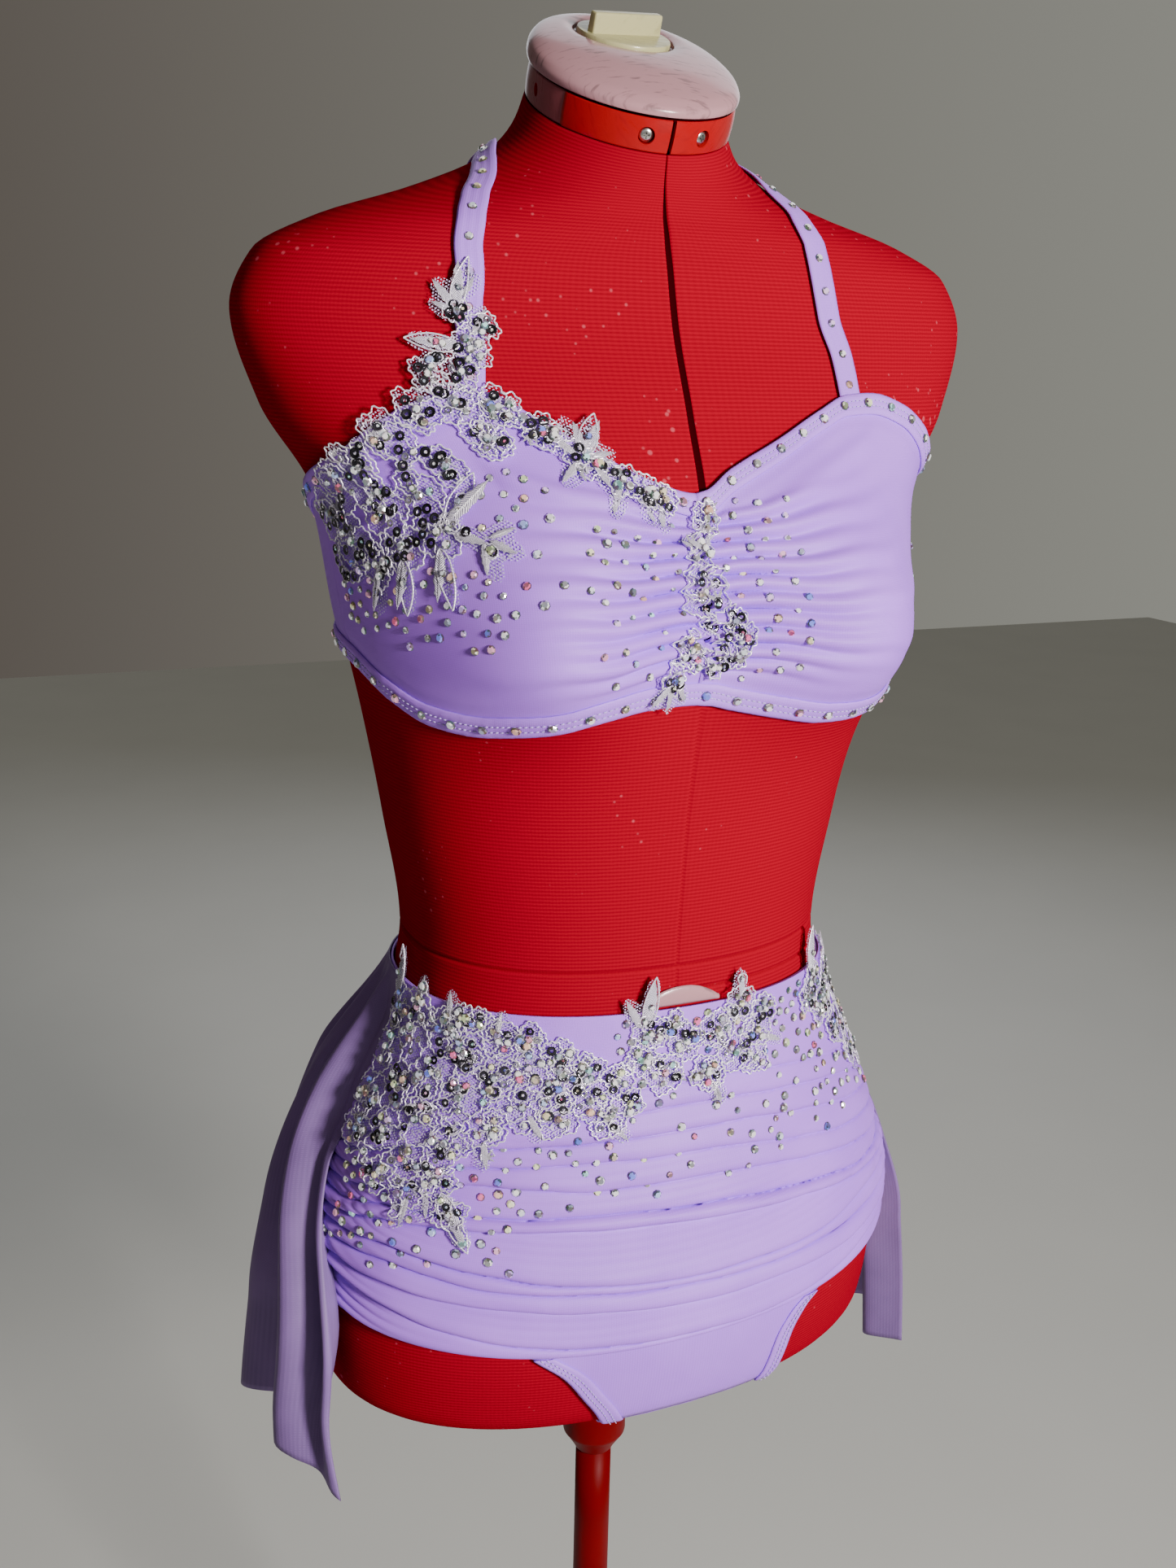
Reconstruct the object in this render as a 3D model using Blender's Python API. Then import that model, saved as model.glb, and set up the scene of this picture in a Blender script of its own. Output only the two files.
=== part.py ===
"""A two-piece lyrical dance costume, a cropped top and briefs with a half skirt, worn by a limbless dress form."""

import math

import bmesh
import bpy
import numpy as np

# Metres. A turn is in degrees round the form: 0 at centre front, positive to the wearer's left, 180 at centre back.
# A level is the height above the form's bottom rim.
RIM_Z = 0.760
SQUARE = 2.25  # corner roundness of the form's sections, 2 is an ellipse
SEAM = 0.0004  # gap between neighbouring pieces
CLOTH = 0.0012  # wall of every cloth piece
FIRST = 0.0012  # inside of the panels that lie on the form
SECOND = 0.0028  # inside of what lies on those panels
LACE = 0.0010
CENTRE = -1.2  # turn of the top's centre front seam
TOP_SIDE, BRIEF_SIDE = 85.0, 87.0  # turns of the side seams
BAND, BINDING = 0.0115, 0.0105  # widths of the under-bust band and the neckline binding
STRAP = 0.0135
WAIST = 0.2480
FOLD_RISE = 0.0034  # how far the ruching stands out
PUFF_TURN = 20.0  # how far the skirt's front edge swings forward
FOLDS = 13  # folds round the half skirt
STEP = 10.0  # degrees between the form's columns, which the pieces on it share
BUST = (0.0806, 0.455, 0.040, 0.058, 0.048, 0.062)  # side, level, rise, spread across, spread below, above
POLE, COLLAR, COLLAR_HIGH = 0.0118, 0.0208, 0.0970
ARM, ARM_END, ARM_ROOT, ARM_HIGH = 0.270, 0.014, 0.019, 0.014

SECTIONS = (
    # level, half width, front depth, back depth, centre y, tilt in degrees
    (-0.012, 0.1500, 0.0850, 0.0880, 0.000, 0.0),
    (-0.006, 0.1700, 0.1020, 0.1050, 0.000, 0.0),
    (0.008, 0.1800, 0.1100, 0.1140, 0.000, 0.0),
    (0.050, 0.1830, 0.1170, 0.1290, 0.000, 0.0),
    (0.100, 0.1780, 0.1170, 0.1340, 0.000, 0.0),
    (0.180, 0.1520, 0.1060, 0.1180, 0.000, 0.0),
    (0.2025, 0.1424, 0.1024, 0.1098, 0.000, 0.0),
    (0.225, 0.1332, 0.0991, 0.1020, 0.000, 0.0),
    (0.2475, 0.1278, 0.0977, 0.0966, 0.000, 0.0),
    (0.270, 0.1250, 0.0970, 0.0935, 0.000, 0.0),
    (0.340, 0.1350, 0.1010, 0.0935, 0.000, 0.0),
    (0.400, 0.1460, 0.1080, 0.0950, 0.000, 0.0),
    (0.455, 0.1580, 0.1120, 0.0986, 0.000, 0.0),
    (0.520, 0.1700, 0.1040, 0.1010, 0.000, 0.0),
    (0.565, 0.1970, 0.0865, 0.0997, 0.000, 1.0),
    (0.610, 0.2100, 0.0660, 0.0880, 0.000, 2.5),
    (0.638, 0.1980, 0.0580, 0.0760, 0.000, 4.0),
    (0.655, 0.1650, 0.0540, 0.0720, 0.000, 7.0),
    (0.670, 0.1150, 0.0520, 0.0660, 0.001, 11.0),
    (0.684, 0.0780, 0.0530, 0.0620, 0.002, 16.0),
    (0.700, 0.0600, 0.0560, 0.0600, 0.003, 22.0),
    (0.714, 0.0535, 0.0590, 0.0595, 0.003, 26.0),
)
TORSO_LEVELS = (
    -0.012, -0.006, 0.008, 0.04, 0.09, 0.14, 0.18, 0.205, 0.23, 0.25, 0.275, 0.32, 0.37, 0.40, 0.415, 0.43, 0.445, 0.46,
    0.475, 0.49, 0.505, 0.518, 0.53, 0.543, 0.56, 0.585, 0.61, 0.628, 0.64, 0.648, 0.656, 0.664, 0.672, 0.68,
    0.69, 0.701, 0.714,
)
TOP_EDGE = (
    # turn, level of the top's upper edge
    (-180, 0.474), (-150, 0.480), (-130, 0.492), (-110, 0.510), (-95, 0.524), (-76.5, 0.536), (-69, 0.540),
    (-58.7, 0.548), (-49, 0.5585), (-41.4, 0.567), (-33, 0.5735), (-28, 0.572), (-22.6, 0.562), (-17.8, 0.551),
    (-11.8, 0.538), (-6.2, 0.529), (-1.2, 0.5245), (3.6, 0.536), (11.8, 0.551), (19.6, 0.5655), (25.5, 0.5735),
    (31, 0.5745), (40.3, 0.569), (49.5, 0.559), (58.7, 0.549), (69, 0.541), (76.5, 0.536), (95, 0.524),
    (110, 0.510), (130, 0.492), (150, 0.480), (180, 0.474),
)
UNDER_EDGE = (
    # turn, level of the top's lower edge
    (-180, 0.434), (-140, 0.436), (-110, 0.438), (-84, 0.433), (-69, 0.421), (-57, 0.412), (-46, 0.410),
    (-37, 0.412), (-28, 0.415), (-19, 0.421), (-9.4, 0.4248), (-1.8, 0.424), (3.6, 0.420), (12.3, 0.415),
    (21.8, 0.411), (35, 0.410), (45, 0.411), (57, 0.414), (69, 0.421), (84, 0.433), (110, 0.438), (140, 0.436),
    (180, 0.434),
)
FRONT_LEG = (
    # turn, level of the front brief's lower edge
    (-87, 0.105), (-75, 0.094), (-60, 0.082), (-45, 0.071), (-34, 0.062), (-24.5, 0.052), (-19, 0.039),
    (-15, 0.021), (-12.5, 0.008), (-11, -0.003), (21.2, -0.003), (22.0, 0.012), (22.9, 0.030), (26.3, 0.046),
    (30.4, 0.053), (40, 0.064), (60, 0.082), (75, 0.094), (87, 0.105),
)
BACK_LEG = (
    # turn, level of the back brief's lower edge
    (87, 0.105), (110, 0.062), (135, 0.032), (150, 0.014), (159, -0.003), (194, -0.003), (203, 0.010),
    (225, 0.032), (250, 0.062), (273, 0.105),
)
CREASES = (
    # level at centre front of each valley of the ruching, its rise at the side seam, depth of the fold above it
    (0.0525, 0.017, 0.9), (0.0660, 0.040, 1.0), (0.0790, 0.040, 0.8), (0.0950, 0.036, 1.0), (0.1080, 0.030, 0.7),
    (0.1220, 0.018, 0.9), (0.1360, 0.008, 0.6), (0.1500, 0.002, 0.5), (0.1650, 0.000, 0.3), (0.1800, 0.000, 0.0),
)
SKIRT_HEM = ((0, -0.055), (0.05, -0.044), (0.12, -0.048), (0.25, -0.075), (0.5, -0.105), (0.75, -0.095),
             (0.9, -0.075), (1, -0.062))  # share of the way round from the wearer's right, level of the hem
SKIRT_STAND = ((-0.12, 0.047), (-0.02, 0.041), (0.04, 0.034), (0.10, 0.028), (0.176, 0.032), (0.22, 0.021),
               (0.24, 0.008), (0.2485, 0.0032))  # level, how far the skirt's crests stand off the form
STRAP_RIGHT = ((-31, 0.5765), (-29, 0.590), (-28, 0.606), (-28, 0.622), (-29, 0.637), (-36, 0.656), (-57, 0.672),
               (-79, 0.681), (-108, 0.687), (-125, 0.682), (-143, 0.673), (-156, 0.660), (-162, 0.640),
               (-164.5, 0.610), (-165.5, 0.575), (-165.5, 0.540), (-165, 0.500), (-164.5, 0.4800))
STRAP_LEFT = ((26, 0.5765), (25, 0.595), (23.2, 0.616), (24, 0.638), (31, 0.658), (50, 0.673), (78, 0.684),
              (108, 0.687), (125, 0.682), (143, 0.673), (156, 0.660), (162, 0.640), (164.5, 0.610), (165.5, 0.575),
              (165.5, 0.540), (165, 0.500), (164.5, 0.4800))

# Lace: each row of "flowers" is turn, level, radius in mm, petals. Each of "leaves" is turn, level of its root,
# heading in degrees from the wearer's left upwards, length and half width in mm.
LACES = {
    "lace_cup": {
        "flowers": ((-78, 0.513, 12, 5), (-69, 0.528, 12, 4), (-71, 0.500, 12, 5), (-61, 0.537, 11, 4),
                    (-59, 0.517, 12, 5), (-49, 0.549, 11, 5), (-49, 0.524, 11, 4), (-41, 0.557, 9.5, 5),
                    (-34, 0.556, 9, 4), (-27.5, 0.556, 9, 5), (-30, 0.544, 8, 4), (-22, 0.549, 8, 5),
                    (-56, 0.500, 11, 5), (-47, 0.507, 11, 5), (-64, 0.490, 9, 4), (-41, 0.538, 8, 4),
                    (-17, 0.541, 8, 5), (-12.5, 0.531, 7, 4), (-9, 0.526, 7, 5), (-6.3, 0.522, 6, 4)),
        "leaves": ((-47, 0.500, -85, 26, 3.6), (-56, 0.494, -95, 25, 3.6), (-45, 0.511, 48, 30, 3.6),
                   (-64, 0.486, -100, 20, 3.4), (-44, 0.507, -12, 20, 3.4), (-37, 0.505, 25, 14, 3.2),
                   (-37, 0.504, -22, 16, 3.2), (-38, 0.504, -75, 18, 3.4), (-17, 0.542, 100, 19, 3.2),
                   (-17, 0.542, 62, 22, 3.4), (-18, 0.542, 140, 16, 3.2), (-17, 0.541, 12, 15, 3.2),
                   (-18, 0.540, -132, 16, 3.2), (-16, 0.538, -62, 14, 3.0), (-13, 0.529, -112, 17, 3.2),
                   (-10, 0.524, -72, 15, 3.2), (-7, 0.520, -96, 14, 3.2)),
    },
    "lace_strap": {
        "flowers": ((-37, 0.5805, 7.5, 4), (-31.5, 0.5815, 7.5, 5), (-29, 0.5925, 9, 5), (-26, 0.604, 6, 4),
                    (-30, 0.611, 5.5, 4)),
        "leaves": ((-30, 0.594, 176, 22, 3.6), (-30, 0.610, 88, 24, 3.2), (-30, 0.612, 128, 17, 3.2),
                   (-30, 0.610, 160, 12, 3.2), (-28, 0.600, 75, 12, 3.2)),
    },
    "lace_centre": {
        "flowers": ((-0.5, 0.5130, 7.5, 5), (-2, 0.4985, 7.5, 4), (-2, 0.4790, 13, 6), (1.8, 0.4655, 6, 4),
                    (3.6, 0.4580, 5.5, 4), (2.6, 0.4495, 5.5, 4), (0, 0.4445, 5.5, 4), (-2.8, 0.4480, 5.5, 4),
                    (-5, 0.4540, 7.5, 5), (-7, 0.4400, 6.5, 4)),
        "leaves": ((-0.5, 0.512, -92, 14, 3.2), (-7, 0.438, -138, 17, 3.2), (-7, 0.437, -92, 14, 3.2),
                   (-6, 0.438, -58, 13, 3.2), (-2, 0.498, 150, 11, 3.0)),
    },
    "lace_waist_right": {
        "flowers": ((-81, 0.235, 12, 5), (-81, 0.210, 12, 4), (-80, 0.184, 12, 5), (-79, 0.165, 10, 4),
                    (-72, 0.240, 9, 4), (-72, 0.221, 12, 5), (-71, 0.196, 12, 5), (-69, 0.173, 10, 4),
                    (-62, 0.233, 12, 5), (-61, 0.208, 12, 4), (-60, 0.184, 12, 5), (-60, 0.163, 9, 4),
                    (-57, 0.148, 8, 4), (-52, 0.224, 11, 5), (-50, 0.200, 12, 5), (-50, 0.176, 11, 4),
                    (-50, 0.156, 9, 5), (-43, 0.234, 10, 4), (-42, 0.213, 11, 5), (-41, 0.187, 9, 4),
                    (-34, 0.220, 12, 5), (-33.5, 0.199, 11, 4), (-26, 0.209, 11, 5), (-25, 0.193, 9, 4),
                    (-18.5, 0.202, 10, 5), (-14.5, 0.192, 9, 4)),
        "leaves": ((-72, 0.242, 85, 17, 3.4), (-59, 0.238, 95, 18, 3.4), (-84, 0.240, 92, 28, 4.0),
                   (-48, 0.150, -60, 32, 3.8), (-56, 0.145, -100, 18, 3.4), (-52, 0.150, -84, 16, 3.4),
                   (-41, 0.180, -80, 16, 3.4), (-32, 0.195, -58, 16, 3.4), (-14, 0.189, -45, 15, 3.4),
                   (-44, 0.236, 80, 14, 3.4)),
    },
    "lace_waist_front": {
        "flowers": ((-6, 0.237, 9, 5), (-3, 0.213, 10, 5), (1, 0.229, 9, 4), (5, 0.209, 9, 5), (8, 0.233, 10, 5),
                    (14.5, 0.245, 9, 4), (12, 0.217, 10, 5), (19, 0.227, 9, 5)),
        "leaves": ((-7, 0.240, 80, 28, 3.6), (-8, 0.240, 118, 19, 3.4), (15, 0.248, 92, 17, 3.8),
                   (21, 0.222, -25, 14, 3.4), (6, 0.203, -70, 14, 3.4)),
    },
    "lace_waist_left": {
        "flowers": ((46, 0.240, 10, 5), (53, 0.223, 11, 5), (58, 0.202, 10, 4), (60, 0.185, 9, 4),
                    (61, 0.235, 12, 5), (69, 0.222, 13, 5), (77, 0.235, 12, 4), (77, 0.212, 12, 5)),
        "leaves": ((45, 0.245, 82, 28, 3.8), (61, 0.182, -80, 17, 3.4), (70, 0.214, -85, 20, 3.4),
                   (79, 0.205, -80, 16, 3.4), (66, 0.240, 85, 18, 3.4)),
    },
}
LACE_CELL = {"lace_cup": 0.0074, "lace_strap": 0.0048, "lace_centre": 0.0052, "lace_waist_right": 0.0080,
             "lace_waist_front": 0.0066, "lace_waist_left": 0.0073}

for old in list(bpy.data.objects):
    bpy.data.objects.remove(old)


def ease(x):
    x = np.clip(x, 0.0, 1.0)
    return x * x * (3 - 2 * x)


def steady(table, x):
    """Smooth rows between the rows of a table, with no overshoot. Its first column is looked up."""
    rows = np.asarray(table, float)
    xs, ys = rows[:, 0], rows[:, 1:]
    x = np.clip(np.asarray(x, float), xs[0], xs[-1])
    step = np.diff(xs)[:, None]
    rise = np.diff(ys, axis=0) / step
    slope = np.vstack([rise[:1], np.zeros_like(rise[1:]), rise[-1:]])
    near, far = 2 * step[1:] + step[:-1], step[1:] + 2 * step[:-1]
    same = rise[1:] * rise[:-1] > 0
    safe = np.where(same, 1.0, 0.0)
    mean = near / np.where(same, rise[:-1], 1) + far / np.where(same, rise[1:], 1)
    slope[1:-1] = safe * (near + far) / mean
    i = np.clip(np.searchsorted(xs, x, side="right") - 1, 0, len(xs) - 2)
    h = (xs[i + 1] - xs[i])[..., None]
    t = ((x - xs[i]) / h[..., 0])[..., None]
    return (
        (1 + 2 * t) * (1 - t) ** 2 * ys[i] + t * (1 - t) ** 2 * h * slope[i]
        + t * t * (3 - 2 * t) * ys[i + 1] + t * t * (t - 1) * h * slope[i + 1]
    )


def value(table, x):
    return steady(table, x)[..., 0]


def bare(turn, level):
    """Points of the form's surface."""
    turn, level = np.broadcast_arrays(np.asarray(turn, float), np.asarray(level, float))
    half, front, back, middle, tilt = np.moveaxis(steady(SECTIONS, level), -1, 0)
    power = 2 / (SQUARE - (SQUARE - 2) * ease((level - 0.66) / 0.05))
    s, c = np.sin(np.radians(turn)), np.cos(np.radians(turn))
    x = half * np.sign(s) * np.abs(s) ** power
    y = -np.where(c >= 0, front, back) * np.sign(c) * np.abs(c) ** power
    side, high, rise, across, below, above = BUST
    mound = np.exp(-(((np.sqrt(x * x + 0.008**2) - side) / across) ** 2)
                   - ((level - high) / np.where(level < high, below, above)) ** 2)
    mound = mound * np.clip(3 * c, 0, 1)
    y = y - rise * mound
    x = x + np.sign(x) * 0.010 * mound
    lean = np.radians(tilt)
    return np.stack([x, middle + y * np.cos(lean), RIM_Z + np.clip(level, SECTIONS[0][0], 1) + y * np.sin(lean)], -1)


def normal(turn, level):
    along = bare(np.add(turn, 0.6), level) - bare(np.add(turn, -0.6), level)
    up = bare(turn, np.add(level, 0.002)) - bare(turn, np.add(level, -0.002))
    n = np.cross(along, up)
    return n / np.linalg.norm(n, axis=-1, keepdims=True)


def above(turn, level, lift):
    return bare(turn, level) + normal(turn, level) * np.asarray(lift)[..., None]


def facet(turn, level, lift):
    """A lift off the flats between the form's columns."""
    first = np.floor(np.asarray(turn, float) / STEP) * STEP
    share = ((turn - first) / STEP)[..., None]
    return above(first, level, lift) * (1 - share) + above(first + STEP, level, lift) * share


def skin(turn, level, lift):
    """The form's surface moved out by a lift, and clear of its flats where it is hollow."""
    point, flat = above(turn, level, lift), facet(turn, level, lift)
    out = ((flat - point) * normal(turn, level)).sum(-1)
    return np.where(out[..., None] > 0, flat, point)


def front(turn, level, lift):
    """Off the flats alone, so that front pieces with other columns lie one on the other, as far as the side seams."""
    return np.where((np.abs(turn) <= 80)[..., None], facet(turn, level, lift), skin(turn, level, lift))


def slide(turn, level, move):
    """Turn and level of the surface point nearest to a start moved by a vector."""
    goal = bare(turn, level) + move
    for _ in range(6):
        here = bare(turn, level)
        a = (bare(turn + 0.2, level) - bare(turn - 0.2, level)) / 0.4
        b = (bare(turn, level + 0.001) - bare(turn, level - 0.001)) / 0.002
        aa, bb, ab = (a * a).sum(-1), (b * b).sum(-1), (a * b).sum(-1)
        ga, gb = ((goal - here) * a).sum(-1), ((goal - here) * b).sum(-1)
        det = aa * bb - ab * ab
        turn = turn + (ga * bb - gb * ab) / det
        level = level + (gb * aa - ga * ab) / det
    return turn, level


def solid(name, mesh, material):
    bmesh.ops.recalc_face_normals(mesh, faces=mesh.faces)
    data = bpy.data.meshes.new(name)
    mesh.to_mesh(data)
    mesh.free()
    made = bpy.data.objects.new(name, data)
    bpy.context.scene.collection.objects.link(made)
    made.data.materials.append(material)
    return made


def paint(name, colour, rough, metal=0.0, coat=0.0):
    made = bpy.data.materials.new(name)
    made.use_nodes = True
    shader = made.node_tree.nodes["Principled BSDF"]
    shader.inputs["Base Color"].default_value = (*colour, 1)
    shader.inputs["Roughness"].default_value = rough
    shader.inputs["Metallic"].default_value = metal
    shader.inputs["Coat Weight"].default_value = coat
    made.diffuse_color = (*colour, 1)
    return made


LILAC, LILAC_DEEP, LACE_SILVER = (0.58, 0.43, 0.82), (0.52, 0.38, 0.76), (0.62, 0.58, 0.70)
RED, RED_PLASTIC, PINK, CREAM = (0.50, 0.004, 0.012), (0.62, 0.010, 0.008), (0.83, 0.62, 0.64), (0.80, 0.79, 0.60)


def cloth(name, colour=LILAC):
    return paint(name, colour, 0.75)


def shell(name, inner, outer, material):
    """A sheet between two grids of points, closed round its border."""
    rows, cols = inner.shape[:2]
    mesh = bmesh.new()
    near, far = ([[mesh.verts.new(p) for p in row] for row in grid] for grid in (inner, outer))
    for i in range(rows - 1):
        for j in range(cols - 1):
            for grid in (near, far):
                mesh.faces.new((grid[i][j], grid[i][j + 1], grid[i + 1][j + 1], grid[i + 1][j]))
    border = [(0, j) for j in range(cols)] + [(i, cols - 1) for i in range(1, rows)]
    border += [(rows - 1, j) for j in range(cols - 2, -1, -1)] + [(i, 0) for i in range(rows - 2, 0, -1)]
    for (a, b), (c, d) in zip(border, border[1:] + border[:1]):
        mesh.faces.new((near[a][b], near[c][d], far[c][d], far[a][b]))
    return solid(name, mesh, material)


def loft(name, rings, material):
    """A solid through rings of as many points, with a flat face at each end."""
    mesh = bmesh.new()
    loops = [[mesh.verts.new(p) for p in ring] for ring in rings]
    for low, high in zip(loops, loops[1:]):
        for k in range(len(low)):
            n = (k + 1) % len(low)
            mesh.faces.new((low[k], low[n], high[n], high[k]))
    mesh.faces.new(loops[0])
    mesh.faces.new(loops[-1])
    return solid(name, mesh, material)


def oval(half, deep, y, z, tilt=0.0, count=22):
    a, lean = np.radians(np.arange(count) * 360 / count), math.radians(tilt)
    across, back = half * np.sin(a), -deep * np.cos(a)
    return np.stack([across, y + back * math.cos(lean), z + back * math.sin(lean)], -1)


def panel(name, turn, level, inside, on=skin):
    """A cloth wall over grids of turns and levels."""
    inside = np.broadcast_to(np.asarray(inside, float), turn.shape)
    return shell(name, on(turn, level, inside), on(turn, level, inside + CLOTH), cloth(name))


# The form and its stand.
around = np.arange(0, 360, STEP)
loft("form_torso", [bare(around, level) for level in TORSO_LEVELS], paint("red_jersey", RED, 0.8))

NECK_TILT = 26.0
UP = np.array([0.0, -math.sin(math.radians(NECK_TILT)), math.cos(math.radians(NECK_TILT))])
neck_base = np.array([0.0, 0.003, RIM_Z + 0.714])
low, top = neck_base + UP * SEAM, neck_base + UP * 0.0172
loft("neck_band", [
    oval(0.0540, 0.0600, low[1], low[2], NECK_TILT),
    oval(0.0545, 0.0605, low[1] - 0.0005, low[2] + 0.0010, NECK_TILT),
    oval(0.0538, 0.0592, top[1] + 0.0004, top[2] - 0.0010, NECK_TILT),
    oval(0.0530, 0.0585, top[1], top[2], NECK_TILT),
], paint("red_plastic", RED_PLASTIC, 0.25, coat=0.4))
CAP = (
    # half width, half depth, y, level, tilt
    (0.0530, 0.0585, -0.0047, 0.7300, 26.0), (0.0546, 0.0601, -0.0047, 0.7303, 26.0),
    (0.0556, 0.0606, -0.0051, 0.7335, 26.0), (0.0546, 0.0586, -0.0042, 0.7380, 26.5),
    (0.0497, 0.0532, -0.0008, 0.7440, 27.0), (0.0408, 0.0433, 0.0040, 0.7495, 26.0),
    (0.0315, 0.0325, 0.0078, 0.7527, 25.0), (0.0272, 0.0272, 0.0092, 0.7520, 24.0), (0.0268, 0.0268, 0.0100, 0.7500, 24.0),
)
loft("neck_cap", [oval(half, deep, y, RIM_Z + level, tilt) for half, deep, y, level, tilt in CAP],
     paint("pink_plastic", PINK, 0.2, coat=0.6))

DIAL_TILT, DIAL_TURN = math.radians(24.0), math.radians(13.5)
DIAL_AXIS = np.array([0.0, -math.sin(DIAL_TILT), math.cos(DIAL_TILT)])
DIAL_FOOT = np.array([0.0, 0.0100, RIM_Z + 0.7500]) + DIAL_AXIS * SEAM
cream = paint("cream_plastic", CREAM, 0.35, coat=0.3)


def dial_ring(radius, height):
    foot = DIAL_FOOT + DIAL_AXIS * height
    return oval(radius, radius, foot[1], foot[2], 24.0)


def dial_bar(height, half_long, half_wide):
    across = np.array([math.cos(DIAL_TURN), math.sin(DIAL_TURN)])
    deep = np.array([-math.sin(DIAL_TURN), math.cos(DIAL_TURN)])
    back = np.array([0.0, math.cos(DIAL_TILT), math.sin(DIAL_TILT)])
    corners = []
    for a, b in ((-1, -1), (1, -1), (1, 1), (-1, 1)):
        flat = a * half_long * across + b * half_wide * deep
        corners.append(DIAL_FOOT + DIAL_AXIS * height + np.array([flat[0], 0, 0]) + back * flat[1])
    return corners


dial = loft("neck_dial", [dial_ring(0.0244, 0.0), dial_ring(0.0250, 0.0006), dial_ring(0.0250, 0.0026),
                          dial_ring(0.0242, 0.0034)], cream)
grip = loft("dial_grip", [dial_bar(0.0015, 0.0222, 0.0034), dial_bar(0.0125, 0.0216, 0.0030),
                          dial_bar(0.0132, 0.0210, 0.0025)], cream)
grip.hide_render = True
grip.hide_set(True)
join = dial.modifiers.new("grip", "BOOLEAN")
join.operation, join.solver, join.object = "UNION", "EXACT", grip

turn = np.linspace(-7.5, 9.5, 9)
arc = np.maximum(0.0125 * (1 - ((turn - 1) / 8.7) ** 2), 0.0012)
level = WAIST + 0.0018 + np.outer([0, 0.5, 1], arc)
shell("waist_dial", skin(np.tile(turn, (3, 1)), level, np.full(level.shape, 0.0006)),
      skin(np.tile(turn, (3, 1)), level, np.full(level.shape, 0.0024)), paint("pink_plastic_wheel", PINK, 0.3))

under = RIM_Z + SECTIONS[0][0] - SEAM
loft("pole_collar", [oval(r, r, 0, z, count=18) for r, z in (
    (POLE + 0.0010, under - COLLAR_HIGH), (POLE + 0.0022, under - COLLAR_HIGH + 0.0028),
    (COLLAR - 0.0012, under - COLLAR_HIGH + 0.0120), (COLLAR, under - COLLAR_HIGH + 0.0140), (COLLAR, under))],
     paint("red_collar", RED_PLASTIC, 0.35))
loft("pole", [oval(POLE, POLE, 0, z, count=18) for z in (0.0405, under - COLLAR_HIGH - SEAM)],
     paint("red_pole", (0.22, 0.004, 0.006), 0.35, metal=0.3))
loft("stand_hub", [oval(r, r, 0, z, count=18) for r, z in ((0.034, ARM_HIGH + SEAM), (0.034, 0.022), (0.026, 0.034),
                                                (0.018, 0.040))], paint("red_hub", (0.22, 0.004, 0.006), 0.35))


def cross(inset, z):
    points = []
    for k in range(4):
        c, s = round(math.cos(k * math.pi / 2)), round(math.sin(k * math.pi / 2))
        for x, y in ((ARM - inset, -ARM_END + inset), (ARM - inset, ARM_END - inset), (ARM_ROOT - inset, ARM_ROOT - inset)):
            points.append((c * x - s * y, s * x + c * y, z))
    return points


loft("stand_base", [cross(0, 0), cross(0, ARM_HIGH - 0.003), cross(0.003, ARM_HIGH)],
     paint("red_base", (0.22, 0.004, 0.006), 0.35, metal=0.3))


# The top. Its pieces share their columns and border rows, so that they lie one on the other without touching.
def bridge(turn, level):
    """How far the top stands off the form between the cups."""
    return 0.005 * np.exp(-(((turn - CENTRE) / 9) ** 2) - ((level - 0.475) / 0.028) ** 2)


def gathers(turn, level):
    """Folds that fan out from the gathered centre front seam."""
    low, high = value(UNDER_EDGE, turn), value(TOP_EDGE, turn)
    inside = ease((level - low - BAND - 0.002) / 0.010) * ease((high - BINDING - 0.002 - level) / 0.010)
    fade = np.exp(-np.abs(turn - CENTRE) / 9.0)
    return 0.0016 * fade * inside * (0.5 + 0.5 * np.cos(2 * np.pi * (level - 0.43) / 0.021))


def top_grid(turns, first, last, rows):
    """Rows between the under-bust edge and the upper edge: border widths first, then even shares."""
    low, high = value(UNDER_EDGE, turns), value(TOP_EDGE, turns)
    inner_low, inner_high = low + BAND, high - BINDING
    levels = {"low": low, "band": inner_low, "binding": inner_high, "high": high}
    shares = [levels[first]] if first == "low" else []
    shares += [inner_low + (inner_high - inner_low) * k for k in np.linspace(0, 1, rows)]
    shares += [levels[last]]
    return np.tile(turns, (len(shares), 1)), np.array(shares)


right = np.concatenate([[-TOP_SIDE + 0.1], np.arange(-80, -2, STEP / 2), [CENTRE - 0.15]])
left = np.concatenate([[CENTRE + 0.15, 1.9], np.arange(5, 81, STEP / 2), [TOP_SIDE - 0.1]])
behind = np.concatenate([[TOP_SIDE + 0.1], np.arange(90, 271, STEP), [360 - TOP_SIDE - 0.1]])


def wrapped(turns):
    return np.where(turns > 180, turns - 360, turns)


for name, turns, rows in (("cup_right", right, 8), ("cup_left", left, 8)):
    turn, level = top_grid(turns, "low", "high", rows)
    panel(name, turn, level, FIRST + bridge(turn, level) + gathers(turn, level))
turn, level = top_grid(wrapped(behind), "low", "high", 3)
panel("top_back", turn, level, FIRST)


def strip(name, turns, level_low, level_high):
    """A narrow band of the second layer over its columns."""
    turn = np.tile(turns, (2, 1))
    level = np.array([level_low, level_high])
    panel(name, turn, level, SECOND + bridge(turn, level))


half = np.concatenate([[TOP_SIDE + 0.1], np.arange(90, 171, STEP), [179.85]])
whole = np.concatenate([-half[::-1], right, left, half])
low = value(UNDER_EDGE, whole)
strip("underband", whole, low - 0.0006, low + BAND - 0.0006)
for name, turns in (("neckline_binding_right", whole[whole < CENTRE]), ("neckline_binding_left", whole[whole > CENTRE])):
    high = value(TOP_EDGE, turns)
    strip(name, turns, high - BINDING + 0.0008, high + 0.0008)


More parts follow.
